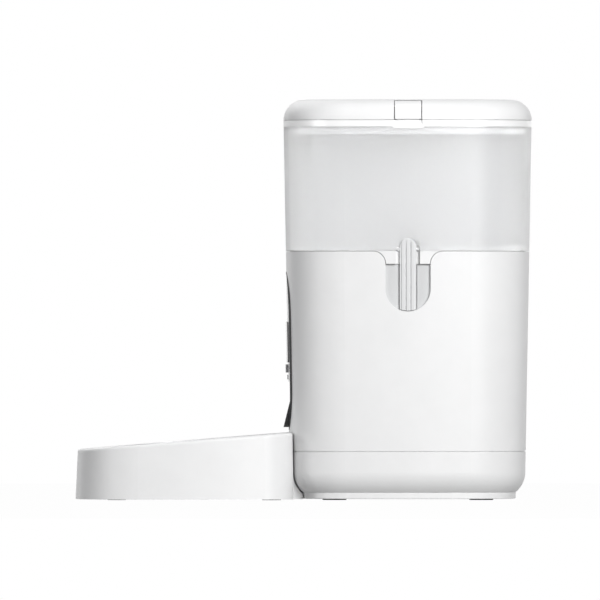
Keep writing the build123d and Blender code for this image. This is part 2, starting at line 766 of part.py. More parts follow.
# Chute: the dark duct from the deck's outlet down to the lip over the bowl.
chute_wall = 1.8
lip_y = tower_front
cheek_top = 77.7
cheek_proud = 0.8
chute_angle = 37.6
ceiling_back_y = 20.5
ceiling_high = 97.0
apron_y = -10.9
apron_depth = 2.4
chute_half_width = arch_half_width - frame_width - cover_gap
lip_height = arch_bottom + frame_width + cover_gap
chute_slope = tan(radians(chute_angle))
chute_back_y = tower_y - outlet_back + fit_gap
lip_top = lip_height + chute_wall


def floor_height(y):
    """Height of the chute's sliding floor at a depth."""
    return lip_top + (y - lip_y) * chute_slope


front_face_y = tower_front + draft_inset(cheek_top) + arch_half_width**2 / (2 * front_bulge)
mouth_y = front_face_y + shell_wall
under_drop = chute_wall / cos(radians(chute_angle))

with BuildPart() as chute_room:
    with BuildSketch(Plane.YZ.offset(chute_wall - chute_half_width)) as duct_room:
        with BuildLine():
            Polyline(
                (chute_back_y, deck_top),
                (chute_back_y, floor_height(chute_back_y)),
                (lip_y - reach / 4, floor_height(lip_y - reach / 4)),
                (lip_y - reach / 4, cover_bottom - chute_wall),
                (mouth_y, cover_bottom - chute_wall),
                (ceiling_back_y, ceiling_high),
                (ceiling_back_y, deck_top),
                close=True,
            )
        make_face()
    extrude(duct_room.sketch, amount=2 * (chute_half_width - chute_wall))
    room_arch = arch_shape(-frame_width - cover_gap - chute_wall)
    extrude(room_arch, amount=reach, both=True, mode=Mode.INTERSECT)

with BuildPart() as chute:
    with BuildSketch(Plane.YZ.offset(-chute_half_width)) as duct:
        with BuildLine():
            Polyline(
                (chute_back_y + chute_wall, deck_bottom),
                (chute_back_y + chute_wall, floor_height(chute_back_y) - under_drop),
                (apron_y + apron_depth, floor_height(apron_y + apron_depth) - under_drop),
                (apron_y + apron_depth, lip_height),
                (lip_y, lip_height),
                (front_face_y - cheek_proud, cheek_top),
                (mouth_y, cheek_top),
                (mouth_y, cover_bottom),
                (ceiling_back_y - chute_wall, ceiling_high + chute_wall),
                (ceiling_back_y - chute_wall, deck_bottom),
                close=True,
            )
        make_face()
    extrude(duct.sketch, amount=2 * chute_half_width)
    extrude(arch_shape(-frame_width - cover_gap), amount=reach, both=True, mode=Mode.INTERSECT)
    add(chute_room.part, mode=Mode.SUBTRACT)
chute.part.label = "chute"
export_step(chute.part, "parts/chute.step")

# Front frame: the dark band all round the arch, standing prouder of the shell at its sides.
with BuildPart() as front_frame:
    panel(arch_bottom, arch_top, -frame_proud)
    panel(arch_bottom, arch_top, frame_depth, mode=Mode.SUBTRACT)
    extrude(arch_shape(0), amount=front_reach, mode=Mode.INTERSECT)
    extrude(arch_shape(-frame_width), amount=front_reach, mode=Mode.SUBTRACT)
front_frame.part.label = "front_frame"
export_step(front_frame.part, "parts/front_frame.step")

# Front cover: the white panel in the frame, with its window, button and light.
window_half_width = 32.0
window_low = 103.0
window_high = 133.6
window_corner = 4.0
window_proud = 1.1
window_thickness = 2.0
button_width = 40.0
button_height = 6.4
button_level = 98.4
button_proud = 1.8
light_width = 24.0
light_height = 3.4
light_level = 91.9
light_proud = 0.6
board_half_width = 28.0
board_low = 93.4
board_high = 139.0
board_post_x = 25.0
post_radius = 2.2
window_level = (window_low + window_high) / 2
board_post_points = [
    (side * board_post_x, z) for side in (-1, 1) for z in (board_low + post_radius, board_high - post_radius)
]


def window_shape(grow):
    """The window's rounded rectangle, grown all round."""
    width = 2 * (window_half_width + grow)
    height = window_high - window_low + 2 * grow
    with BuildSketch(front_plane(front_back_y)) as window:
        with Locations((0, window_level)):
            RectangleRounded(width, height, window_corner + grow)
    return window.sketch


def button_shape(grow):
    """The button's lying oval, grown all round."""
    with BuildSketch(front_plane(front_back_y)) as oval:
        with Locations((0, button_level)):
            SlotOverall(button_width + 2 * grow, button_height + 2 * grow)
    return oval.sketch


def light_shape(grow):
    """The status light's thin lying oval, grown all round."""
    with BuildSketch(front_plane(front_back_y)) as bar:
        with Locations((0, light_level)):
            SlotOverall(light_width + 2 * grow, light_height + 2 * grow)
    return bar.sketch


with BuildPart() as cover_posts:
    panel(cover_bottom, arch_top, cover_thickness / 2)
    with BuildSketch(front_plane(board_front_y)) as posts:
        with Locations(*board_post_points):
            Circle(post_radius)
    extrude(posts.sketch, amount=front_reach, mode=Mode.INTERSECT)

with BuildPart() as front_cover:
    panel(cover_bottom, arch_top, 0)
    panel(cover_bottom, arch_top, cover_thickness, mode=Mode.SUBTRACT)
    extrude(arch_shape(-frame_width - cover_gap, cover_bottom), amount=front_reach, mode=Mode.INTERSECT)
    add(cover_posts.part)
    extrude(window_shape(cover_gap), amount=front_reach, mode=Mode.SUBTRACT)
    extrude(button_shape(cover_gap), amount=front_reach, mode=Mode.SUBTRACT)
    extrude(light_shape(cover_gap), amount=front_reach, mode=Mode.SUBTRACT)
front_cover.part.label = "front_cover"
export_step(front_cover.part, "parts/front_cover.step")

with BuildPart() as display_window:
    panel(cover_bottom, arch_top, -window_proud)
    panel(cover_bottom, arch_top, window_thickness, mode=Mode.SUBTRACT)
    extrude(window_shape(0), amount=front_reach, mode=Mode.INTERSECT)
display_window.part.label = "display_window"
export_step(display_window.part, "parts/display_window.step")

with BuildPart() as status_light:
    panel(cover_bottom, arch_top, -light_proud)
    panel(cover_bottom, arch_top, cover_thickness, mode=Mode.SUBTRACT)
    extrude(light_shape(0), amount=front_reach, mode=Mode.INTERSECT)
status_light.part.label = "status_light"
export_step(status_light.part, "parts/status_light.step")

# Feed button: an oval cap with a collar behind the cover that keeps it in.
button_collar_low = 2.6
button_collar_high = 3.7
button_collar_grow = 1.1

with BuildPart() as button_collar:
    panel(light_level, window_low, button_collar_low)
    panel(light_level, window_low, button_collar_high, mode=Mode.SUBTRACT)
    extrude(button_shape(button_collar_grow), amount=front_reach, mode=Mode.INTERSECT)

with BuildPart() as feed_button:
    panel(light_level, window_low, -button_proud)
    panel(light_level, window_low, button_collar_high, mode=Mode.SUBTRACT)
    extrude(button_shape(-cover_gap), amount=front_reach, mode=Mode.INTERSECT)
    add(button_collar.part)
feed_button.part.label = "feed_button"
export_step(feed_button.part, "parts/feed_button.step")

# Control board behind the cover, with the display module and the button's switch.
display_depth = 4.4
display_half_width = 19.0
display_margin = 2.0
switch_half_width = 3.0
switch_half_height = 2.6
switch_depth = 1.8
plunger_radius = 1.2
plunger_length = 0.7

with BuildPart() as control_board:
    block(
        (-board_half_width, board_front_y, board_low),
        (board_half_width, board_front_y + board_thickness, board_high),
    )
control_board.part.label = "control_board"
export_step(control_board.part, "parts/control_board.step")

with BuildPart() as display_module:
    block(
        (-display_half_width, board_front_y - display_depth, window_low + display_margin),
        (display_half_width, board_front_y, window_high - display_margin),
    )
display_module.part.label = "display_module"
export_step(display_module.part, "parts/display_module.step")

with BuildPart() as feed_switch:
    block(
        (-switch_half_width, board_front_y - switch_depth, button_level - switch_half_height),
        (switch_half_width, board_front_y, button_level + switch_half_height),
    )
    rods(front_plane(board_front_y - switch_depth), [(0, button_level)], plunger_radius, plunger_length)
feed_switch.part.label = "feed_switch"
export_step(feed_switch.part, "parts/feed_switch.step")

# Food tank: a clear box over the shell, welded on a white base whose funnel leads to the drum.
plug_inset = 12.0
plug_shoulder = key_bottom + seam_gap
shoulder_inset = 3.0
funnel_run = 1.2
arch_boss_radius = 8.9
arch_boss_level = 187.7
arch_pocket_depth = 3.6
tongue_top = 196.0
tongue_sink = 1.0
tongue_thickness = 1.8
rib_pitch = 3.6
rib_width = 2.3
toe_gap = 0.5
tongue_hinge_radius = 1.1
drop_half_width = 11.6
drop_height = 1.4
drop_depth = 1.0
drum_floor_low = deck_top + lid_gap
drum_low = drum_floor_low + drum_floor_thickness
drum_room = drum_radius - tank_wall
shoulder_rise = (tank_bottom - plug_shoulder) / (plug_inset - shoulder_inset)
slope_wall = tank_wall * sqrt(1 + 1 / shoulder_rise**2)
inner_shoulder = plug_shoulder + (slope_wall - tank_wall) * shoulder_rise
inner_brim = plug_shoulder + (plug_inset + slope_wall - tank_wall) * shoulder_rise
funnel_height = tank_bottom - drum_top
inner_funnel_low = drum_top + (tank_wall * sqrt(1 + funnel_run**2) - tank_wall) / funnel_run
inner_funnel_height = inner_brim - inner_funnel_low
arch_floor_x = tower_width / 2 - draft_inset(arch_boss_level) - arch_pocket_depth
tank_axis = (0, tower_y)


def arch_boss_shape(side, distance, grow):
    """The round-topped slot for the tongue's root, seen from the side."""
    radius = arch_boss_radius + grow
    low = key_bottom - grow
    with BuildSketch(side_plane(side, distance)) as slot:
        with Locations((0, arch_boss_level)):
            Circle(radius)
        with Locations((0, (arch_boss_level + low) / 2)):
            Rectangle(2 * radius, arch_boss_level - low)
    return slot.sketch


with BuildPart() as tank_keys:
    for side in (-1, 1):
        start = tower_width / 2 - plug_inset - tank_wall - draft_inset(plug_shoulder)
        extrude(recess_shape(side, start, -seam_gap, key_bottom, tank_bottom), amount=reach)
    tapered(key_bottom, tank_bottom, fit_gap, mode=Mode.INTERSECT)

with BuildPart() as tank_cavity:
    tapered(inner_funnel_low, inner_shoulder, plug_inset + tank_wall)
    sloped(inner_shoulder, inner_brim, plug_inset + tank_wall, tank_wall)
    with Locations((0, tower_y, inner_funnel_low)):
        Cone(
            bottom_radius=drum_room,
            top_radius=drum_room + funnel_run * inner_funnel_height,
            height=inner_funnel_height,
            align=(Align.CENTER, Align.CENTER, Align.MIN),
            mode=Mode.INTERSECT,
        )
    rods(Plane.XY.offset(drum_low), [tank_axis], drum_room, inner_funnel_low - drum_low)
    tapered(inner_brim, tank_top, tank_wall)

with BuildPart() as arch_bosses:
    for side in (-1, 1):
        extrude(arch_boss_shape(side, arch_floor_x - thin_wall, thin_wall), amount=reach)
    tapered(key_bottom, tank_top, 0, mode=Mode.INTERSECT)

with BuildPart() as collar_seats:
    tapered(tank_top - drop_height, tank_top, 0)
    tapered(tank_top - drop_height, tank_top, drop_depth, mode=Mode.SUBTRACT)
    with BuildSketch(side_plane(-1, reach)) as seat_profile:
        with Locations((0, tank_top - drop_height / 2)):
            Rectangle(2 * drop_half_width, drop_height)
    extrude(seat_profile.sketch, amount=-2 * reach, mode=Mode.INTERSECT)

with BuildPart() as tank_form:
    tapered(drum_top, plug_shoulder, plug_inset)
    sloped(plug_shoulder, tank_bottom, plug_inset, shoulder_inset)
    with Locations((0, tower_y, drum_top)):
        Cone(
            bottom_radius=drum_radius,
            top_radius=drum_radius + funnel_run * funnel_height,
            height=funnel_height,
            align=(Align.CENTER, Align.CENTER, Align.MIN),
            mode=Mode.INTERSECT,
        )
    rods(Plane.XY.offset(drum_low), [tank_axis], drum_radius, drum_top - drum_low)
    tapered(tank_bottom, tank_top, 0)
    add(tank_keys.part)
    add(tank_cavity.part, mode=Mode.SUBTRACT)
    add(arch_bosses.part)
    for side in (-1, 1):
        extrude(arch_boss_shape(side, arch_floor_x, 0), amount=reach, mode=Mode.SUBTRACT)
    add(collar_seats.part, mode=Mode.SUBTRACT)

# The base's brim reaches up inside the clear wall.
with BuildPart() as brim_block:
    tapered(tank_bottom, inner_brim, tank_wall)

with BuildPart() as tank_brim:
    add(tank_form.part)
    tapered(tank_bottom, inner_brim, tank_wall + running_gap, mode=Mode.INTERSECT)

with BuildPart() as tank_base:
    add(tank_form.part)
    split(bisect_by=Plane.XY.offset(tank_bottom), keep=Keep.BOTTOM)
    add(tank_brim.part)
tank_base.part.label = "tank_base"
export_step(tank_base.part, "parts/tank_base.step")

with BuildPart() as tank:
    add(tank_form.part)
    split(bisect_by=Plane.XY.offset(tank_bottom), keep=Keep.TOP)
    add(brim_block.part, mode=Mode.SUBTRACT)
tank.part.label = "tank"
export_step(tank.part, "parts/tank.step")


# Release tongues: ribbed strips hung in the tank's slots, pressed in to free the tank.
def strip_shape(side, centre, half_width, top):
    """An upright strip with a round top, its toe following the recess's foot."""
    toe_radius = recess_half_width - toe_gap
    toe_centre = recess_bottom + recess_half_width
    with BuildSketch(side_plane(side, channel_floor_x)) as strip:
        with Locations((0, toe_centre)):
            Circle(toe_radius)
        with Locations((0, toe_centre + reach / 2)):
            Rectangle(2 * toe_radius, reach)
        with Locations((centre, top - half_width - reach / 2)):
            Rectangle(2 * half_width, reach, mode=Mode.INTERSECT)
        with Locations((centre, top - half_width)):
            Circle(half_width)
    return strip.sketch


for side, side_name in ((-1, "left"), (1, "right")):
    with BuildPart() as ribs:
        for place in (-1, 0, 1):
            rib = strip_shape(side, place * rib_pitch, rib_width / 2, tongue_top - tongue_half_width / 4)
            extrude(rib, amount=reach)
        tapered(recess_bottom, tank_top, 0, mode=Mode.INTERSECT)
        tapered(recess_bottom, tank_top, tongue_sink, mode=Mode.SUBTRACT)
    with BuildPart() as tongue:
        extrude(strip_shape(side, 0, tongue_half_width, tongue_top), amount=reach)
        tapered(recess_bottom, tank_top, tongue_sink, mode=Mode.INTERSECT)
        tapered(recess_bottom, tank_top, tongue_sink + tongue_thickness, mode=Mode.SUBTRACT)
        add(ribs.part)
        hinge_x = arch_floor_x + lid_gap + tongue_hinge_radius
        hinge_plane = front_plane(tower_y + arch_boss_radius - lid_gap)
        hinge_length = 2 * (arch_boss_radius - lid_gap)
        rods(hinge_plane, [(side * hinge_x, arch_boss_level)], tongue_hinge_radius, hinge_length)
    tongue.part.label = f"tongue_{side_name}"
    export_step(tongue.part, f"parts/tongue_{side_name}.step")

# Drum floor: the disc under the rotor, with the outlet and the hole for the spigot.
spigot_hole_radius = 8.0

with BuildPart() as drum_floor:
    floor_under = Plane.XY.offset(drum_floor_low)
    rods(floor_under, [tank_axis], drum_radius, drum_floor_thickness)
    extrude(outlet_shape(drum_floor_low, 0), amount=drum_floor_thickness, mode=Mode.SUBTRACT)
    rods(floor_under, [tank_axis], spigot_hole_radius, drum_floor_thickness, mode=Mode.SUBTRACT)
drum_floor.part.label = "drum_floor"
export_step(drum_floor.part, "parts/drum_floor.step")

# Rotor: six vanes round a hub that sits over the spigot.
vane_count = 6
vane_thickness = 2.4
rotor_radius = 56.6
rotor_height = 26.0
rotor_hub_radius = 11.0
rotor_hub_top = 150.0
rotor_low = drum_low + lid_gap

with BuildPart() as rotor:
    rods(Plane.XY.offset(rotor_low), [tank_axis], rotor_hub_radius, rotor_hub_top - rotor_low)
    with BuildSketch(Plane.XY.offset(rotor_low)) as vanes:
        with Locations(tank_axis):
            with PolarLocations(rotor_radius / 2, vane_count):
                Rectangle(rotor_radius, vane_thickness)
    extrude(vanes.sketch, amount=rotor_height)
    with BuildSketch(Plane.XY.offset(rotor_low)) as hexagon_hole:
        with Locations(tank_axis):
            RegularPolygon(radius=spigot_radius + lid_gap, side_count=6)
    extrude(hexagon_hole.sketch, amount=spigot_top + lid_gap - rotor_low, mode=Mode.SUBTRACT)
rotor.part.label = "rotor"
export_step(rotor.part, "parts/rotor.step")

# Stirrer: a soft cone with three arms on the rotor's hub, to keep the food loose.
stirrer_cap_height = 3.0
stirrer_cone_height = 14.0
stirrer_tip_radius = 3.5
stirrer_arm_length = 36.0
stirrer_arm_width = 6.0
stirrer_arm_height = 3.0

with BuildPart() as stirrer:
    rods(Plane.XY.offset(rotor_hub_top), [tank_axis], rotor_hub_radius, stirrer_cap_height)
    with Locations((0, tower_y, rotor_hub_top + stirrer_cap_height)):
        Cone(
            bottom_radius=rotor_hub_radius,
            top_radius=stirrer_tip_radius,
            height=stirrer_cone_height,
            align=(Align.CENTER, Align.CENTER, Align.MIN),
        )
    fillet(stirrer.faces().sort_by(Axis.Z)[-1].edges(), radius=stirrer_tip_radius / 2)
    with BuildSketch(Plane.XY.offset(rotor_hub_top)) as arms:
        with Locations(tank_axis):
            with PolarLocations(stirrer_arm_length / 2, vane_count // 2):
                SlotOverall(stirrer_arm_length, stirrer_arm_width)
    extrude(arms.sketch, amount=stirrer_arm_height)
stirrer.part.label = "stirrer"
export_step(stirrer.part, "parts/stirrer.step")

# Flow guard: the shelf over the outlet, so that only the rotor's pockets feed it.
guard_thickness = 1.6
guard_half_angle = 44.0
guard_hub_gap = 2.0
guard_low = rotor_low + rotor_height + 1.2

with BuildPart() as flow_guard:
    with BuildSketch(Plane.XY.offset(guard_low)) as guard:
        with Locations(tank_axis):
            Circle(drum_room - fit_gap)
            Circle(rotor_hub_radius + guard_hub_gap, mode=Mode.SUBTRACT)
        with BuildLine():
            far_y = tower_y - 2 * drum_radius
            far_x = 2 * drum_radius * tan(radians(guard_half_angle))
            Polyline(tank_axis, (far_x, far_y), (-far_x, far_y), close=True)
        make_face(mode=Mode.INTERSECT)
    extrude(guard.sketch, amount=guard_thickness)
flow_guard.part.label = "flow_guard"
export_step(flow_guard.part, "parts/flow_guard.step")

# Tank collar: the white ring on the tank's rim, with a finger notch and a catch on each side.
collar_lap = 5.6
collar_wall = 1.5
collar_inner = tank_wall + fit_gap + collar_wall
latch_half_width = 9.85
notch_half_width = 10.9
notch_height = 3.8
notch_depth = 2.6
notch_arch = 1.0
catch_half_width = 8.0
catch_wall = 0.8
catch_tooth = 0.7
catch_height = 4.8
catch_tooth_height = 2.0
catch_inset = 3.3
notch_arch_radius = notch_half_width**2 / (2 * notch_arch)
catch_outer_x = tower_width / 2 - catch_inset
catch_top = rim_top + catch_height

with BuildPart() as tank_collar:
    tapered(tank_top, rim_top, 0)
    tapered(tank_top - collar_lap, tank_top, tank_wall + fit_gap)
    tapered(tank_top - collar_lap, rim_top, collar_inner, mode=Mode.SUBTRACT)
    add(collar_seats.part)
    for side in (-1, 1):
        notch_low = rim_top - notch_height
        with BuildSketch(side_plane(side, tower_width / 2 - notch_depth)) as notch:
            with Locations((0, rim_top)):
                Rectangle(2 * notch_half_width, 2 * notch_height)
            with Locations((0, notch_low + notch_arch - notch_arch_radius)):
                Circle(notch_arch_radius, mode=Mode.SUBTRACT)
        extrude(notch.sketch, amount=reach, mode=Mode.SUBTRACT)
        wall_x = side * (catch_outer_x - catch_wall)
        post_x = side * catch_outer_x
        tooth_x = side * (catch_outer_x + catch_tooth)
        block(
            (min(wall_x, post_x), tower_y - catch_half_width, rim_top - lid_gap),
            (max(wall_x, post_x), tower_y + catch_half_width, catch_top),
        )
        block(
            (min(post_x, tooth_x), tower_y - catch_half_width, catch_top - catch_tooth_height),
            (max(post_x, tooth_x), tower_y + catch_half_width, catch_top),
        )
tank_collar.part.label = "tank_collar"
export_step(tank_collar.part, "parts/tank_collar.step")

# Lid: a shallow shell with one large curve round its top edge and a well for each latch.
lid_curve = 15.0
latch_room = 0.7
latch_wall = 1.6
latch_pivot_reach = 10.5
latch_pivot_angle = 62.0
latch_swing_radius = 5.0
latch_pin_radius = 0.8
latch_pin_half_length = 11.8
housing_reach = 16.6
housing_low = 287.0
liner_screw_x = 50.0
liner_screw_y = 60.0
liner_screw_length = 10.0
liner_flange = 2.0
liner_flange_inset = 5.0
liner_wall = 1.6
lid_inside_top = lid_top - lid_wall
liner_ceiling = lid_bottom - liner_wall
liner_top = lid_bottom + liner_flange
curve_x = tower_width / 2 - lid_curve
curve_z = lid_top - lid_curve
pivot_x = curve_x + latch_pivot_reach * cos(radians(latch_pivot_angle))
pivot_z = curve_z + latch_pivot_reach * sin(radians(latch_pivot_angle))
well_wall_x = catch_outer_x - catch_wall - seam_gap
latch_well_half_width = latch_half_width + latch_room
housing_half_width = latch_well_half_width + latch_wall
liner_screw_points = four_points(liner_screw_x, liner_screw_y)

with BuildPart() as latch_wells:
    for side in (-1, 1):
        with BuildSketch(front_plane(tower_y + latch_well_half_width)) as well:
            with BuildLine():
                Polyline(
                    (side * well_wall_x, rim_top),
                    (side * reach / 2, rim_top),
                    (side * reach / 2, lid_top - latch_room),
                    (side * pivot_x, lid_top - latch_room),
                    (side * pivot_x, pivot_z - latch_pivot_reach / 3),
                    (side * well_wall_x, pivot_z - latch_swing_radius),
                    close=True,
                )
            make_face()
            with Locations((side * pivot_x, pivot_z)):
                Circle(latch_swing_radius)
        extrude(well.sketch, amount=2 * latch_well_half_width)
    pin_plane = front_plane(tower_y + latch_pin_half_length + running_gap)
    pivots = [(side * pivot_x, pivot_z) for side in (-1, 1)]
    rods(pin_plane, pivots, latch_pin_radius + running_gap, 2 * (latch_pin_half_length + running_gap))

with BuildPart() as lid_hollow:
    upright(lid_bottom, lid_inside_top, lid_wall)
    fillet(lid_hollow.faces().sort_by(Axis.Z)[-1].edges(), radius=lid_curve - lid_wall)
    for side in (-1, 1):
        inner_x = side * (tower_width / 2 - housing_reach)
        outer_x = side * tower_width / 2
        block(
            (min(inner_x, outer_x), tower_y - housing_half_width, housing_low),
            (max(inner_x, outer_x), tower_y + housing_half_width, lid_top),
            mode=Mode.SUBTRACT,
        )
    boss_foot = Plane.XY.offset(liner_top + fit_gap)
    rods(boss_foot, liner_screw_points, boss_radius, lid_height, mode=Mode.SUBTRACT)

with BuildPart() as lid:
    upright(lid_bottom, lid_top, 0)
    fillet(lid.faces().sort_by(Axis.Z)[-1].edges(), radius=lid_curve)
    add(lid_hollow.part, mode=Mode.SUBTRACT)
    add(latch_wells.part, mode=Mode.SUBTRACT)
    hole_length = liner_screw_length - (liner_top - liner_ceiling) + fit_gap
    rods(Plane.XY.offset(liner_top), liner_screw_points, screw_hole_radius, hole_length, mode=Mode.SUBTRACT)
lid.part.label = "lid"
export_step(lid.part, "parts/lid.step")

# Latches: curved tabs flush with the lid's edge, each swinging on a steel pin.
latch_thickness = 1.6
latch_low_angle = 0.4
latch_high_angle = 67.0
latch_web_low_angle = 45.0
latch_barrel_radius = 2.3
nose_length = 1.3
nose_height = 1.7
nose_x = tower_width / 2 - latch_thickness / 2 - nose_length


def curve_point(side, radius, angle):
    """A point about the centre of the lid's edge curve, at an angle above the horizontal."""
    return (side * (curve_x + radius * cos(radians(angle))), curve_z + radius * sin(radians(angle)))


for side, side_name in ((-1, "left"), (1, "right")):
    with BuildPart() as latch:
        with BuildSketch(front_plane(tower_y + latch_half_width)) as tab:
            with Locations(curve_point(side, 0, 0)):
                Circle(lid_curve)
                Circle(lid_curve - latch_thickness, mode=Mode.SUBTRACT)
            with BuildLine():
                Polyline(
                    curve_point(side, 0, 0),
                    curve_point(side, 2 * lid_curve, latch_low_angle),
                    curve_point(side, 2 * lid_curve, latch_web_low_angle),
                    curve_point(side, 2 * lid_curve, latch_high_angle),
                    close=True,
                )
            make_face(mode=Mode.INTERSECT)
            with BuildLine():
                web_reach = lid_curve - latch_thickness / 2
                Polyline(
                    (side * pivot_x, pivot_z),
                    curve_point(side, web_reach, latch_high_angle),
                    curve_point(side, web_reach, latch_web_low_angle),
                    close=True,
                )
            make_face()
            with Locations((side * (nose_x + nose_length / 2), lid_bottom + latch_room + nose_height / 2)):
                Rectangle(nose_length, nose_height)
            with Locations((side * pivot_x, pivot_z)):
                Circle(latch_barrel_radius)
                Circle(latch_pin_radius + running_gap, mode=Mode.SUBTRACT)
        extrude(tab.sketch, amount=2 * latch_half_width)
    latch.part.label = f"latch_{side_name}"
    export_step(latch.part, f"parts/latch_{side_name}.step")
    with BuildPart() as latch_pin:
        pin_end = front_plane(tower_y + latch_pin_half_length)
        rods(pin_end, [(side * pivot_x, pivot_z)], latch_pin_radius, 2 * latch_pin_half_length)
    latch_pin.part.label = f"latch_pin_{side_name}"
    export_step(latch_pin.part, f"parts/latch_pin_{side_name}.step")

# Lid liner: closes the lid from below and reaches into the tank with a plug for the gasket.
plug_bottom = 275.5
liner_plug_inset = 6.0
gasket_low = 277.3
gasket_height = 2.5
gasket_inset = 4.3
with BuildPart() as gasket_groove:
    groove_top = gasket_low + gasket_height + 2 * running_gap
    upright(gasket_low, groove_top, 0)
    upright(gasket_low, groove_top, liner_plug_inset + liner_wall / 2, mode=Mode.SUBTRACT)

with BuildPart() as lid_liner:
    upright(lid_bottom, liner_top, liner_flange_inset)
    upright(plug_bottom, lid_bottom, liner_plug_inset)
    upright(plug_bottom, liner_ceiling, liner_plug_inset + liner_wall, mode=Mode.SUBTRACT)
    add(gasket_groove.part, mode=Mode.SUBTRACT)
    ceiling = Plane.XY.offset(liner_ceiling)
    rods(ceiling, liner_screw_points, screw_hole_radius, lid_height, mode=Mode.SUBTRACT)
lid_liner.part.label = "lid_liner"
export_step(lid_liner.part, "parts/lid_liner.step")

with BuildPart() as lid_gasket:
    gasket_foot = gasket_low + running_gap
    upright(gasket_foot, gasket_foot + gasket_height, gasket_inset)
    gasket_back = liner_plug_inset + liner_wall / 2 - running_gap
    upright(gasket_foot, gasket_foot + gasket_height, gasket_back, mode=Mode.SUBTRACT)
lid_gasket.part.label = "lid_gasket"
export_step(lid_gasket.part, "parts/lid_gasket.step")

with BuildPart() as lid_screws:
    seat = Plane(origin=(0, 0, liner_ceiling), x_dir=(1, 0, 0), z_dir=(0, 0, -1))
    fasten(seat, [(x, -y) for x, y in liner_screw_points], liner_screw_length)
lid_screws.part.label = "lid_screws"
export_step(lid_screws.part, "parts/lid_screws.step")

# Desiccant box under the liner: an upturned cup with three lugs for its twist cap.
cup_radius = 26.0
cup_bottom = 268.0
lug_reach = 1.2
lug_height = 1.5
lug_low = 270.0
lug_half_angle = 10.0
cap_bottom = 264.0
cap_floor = 2.0
cap_wall = 1.6
cap_top = 274.0
cap_gap = 0.3
vent_radius = 1.5
vent_rows = ((6, 8.0), (12, 15.0), (18, 22.0))
cap_inner_radius = cup_radius + lug_reach + cap_gap
lip_low = lug_low + lug_height + cap_gap


def lug_shape(height, inner_radius, outer_radius):
    """Three short arcs of a ring, a third of a turn apart."""
    middle = (inner_radius + outer_radius) / 2
    length = 2 * middle * sin(radians(lug_half_angle))
    with BuildSketch(Plane.XY.offset(height)) as lugs:
        with Locations(tank_axis):
            with PolarLocations(middle, 3):
                Rectangle(2 * (outer_radius - inner_radius), length)
            Circle(outer_radius, mode=Mode.INTERSECT)
            Circle(inner_radius, mode=Mode.SUBTRACT)
    return lugs.sketch


with BuildPart() as desiccant_box:
    rods(Plane.XY.offset(cup_bottom), [tank_axis], cup_radius, liner_ceiling - cup_bottom)
    cup_depth = liner_ceiling - thin_wall - cup_bottom
    rods(Plane.XY.offset(cup_bottom), [tank_axis], cup_radius - thin_wall, cup_depth, mode=Mode.SUBTRACT)
    extrude(lug_shape(lug_low, cup_radius - thin_wall / 2, cup_radius + lug_reach), amount=lug_height)
desiccant_box.part.label = "desiccant_box"
export_step(desiccant_box.part, "parts/desiccant_box.step")

with BuildPart() as desiccant_cap:
    rods(Plane.XY.offset(cap_bottom), [tank_axis], cap_inner_radius + cap_wall, cap_top - cap_bottom)
    cap_room = Plane.XY.offset(cap_bottom + cap_floor)
    rods(cap_room, [tank_axis], cap_inner_radius, cap_top - cap_bottom, mode=Mode.SUBTRACT)
    lips = lug_shape(lip_low, cup_radius + cap_gap, cap_inner_radius + cap_wall / 2)
    extrude(lips, amount=lug_height)
    with BuildSketch(Plane.XY.offset(cap_bottom)) as vents:
        with Locations(tank_axis):
            for vent_count, row_radius in vent_rows:
                with PolarLocations(row_radius, vent_count):
                    Circle(vent_radius)
            Circle(vent_radius)
    extrude(vents.sketch, amount=cap_floor, mode=Mode.SUBTRACT)
desiccant_cap.part.label = "desiccant_cap"
export_step(desiccant_cap.part, "parts/desiccant_cap.step")

# Bowl holder: the sloping stand in front, its rear tongue reaching in under the rolled tray.
holder_width = 168.0
holder_rear = -7.5
holder_bottom = 0.5
holder_draft = 2.6
holder_rear_draft = 1.0
holder_rear_corner = 26.0
holder_wall = 2.5
holder_deck = 3.2
holder_gap = 0.8
holder_high = 60.0
rim_front_height = 37.6
rim_slope = 4.53
rim_round = 2.0
bowl_y = -89.5
well_radius = 68.0
seat_radius = 71.4
seat_depth = 1.6
column_radius = 8.0
column_points = [(-60.0, -24.0), (60.0, -24.0), (-52.0, -140.0), (52.0, -140.0)]
pad_radius = 7.0
pad_sink = 1.0
toe_half_width = 40.0
toe_rear = 12.0
toe_height = 20.0
holder_front = -overall_length / 2
rim_normal = (0, -sin(radians(rim_slope)), cos(radians(rim_slope)))
bowl_rim_z = rim_front_height + (bowl_y - holder_front) * tan(radians(rim_slope))
rim_plane = Plane(origin=(0, bowl_y, bowl_rim_z), x_dir=(1, 0, 0), z_dir=rim_normal)


def holder_plan(height, inset):
    """The holder's plan at a height: bulged front and sides, straight at the back."""
    lean = inset + height * tan(radians(holder_draft))
    rear = holder_rear - inset - height * tan(radians(holder_rear_draft))
    middle_y = (holder_front + holder_rear) / 2
    with BuildSketch(Plane.XY.offset(height)) as plan:
        with Locations((0, holder_front + front_bulge)):
            Circle(front_bulge - lean)
        with Locations((side_bulge - holder_width / 2, middle_y)):
            Circle(side_bulge - lean, mode=Mode.INTERSECT)
        with Locations((holder_width / 2 - side_bulge, middle_y)):
            Circle(side_bulge - lean, mode=Mode.INTERSECT)
        with Locations((0, rear - front_bulge)):
            Rectangle(2 * front_bulge, 2 * front_bulge, mode=Mode.INTERSECT)
        fillet(plan.vertices().group_by(Axis.Y)[0], radius=corner_radius - lean)
        fillet(plan.vertices().group_by(Axis.Y)[-1], radius=holder_rear_corner - inset)
    return plan.sketch


with BuildPart() as tower_room:
    tapered(plate_bottom - holder_gap, holder_high, -holder_gap)
    fillet(tower_room.faces().sort_by(Axis.Z)[0].edges(), radius=tray_curve)
    upright(0, plate_top, plate_inset - holder_gap)

with BuildPart() as tower_room_wall:
    tapered(0, holder_high, -holder_gap - holder_wall)

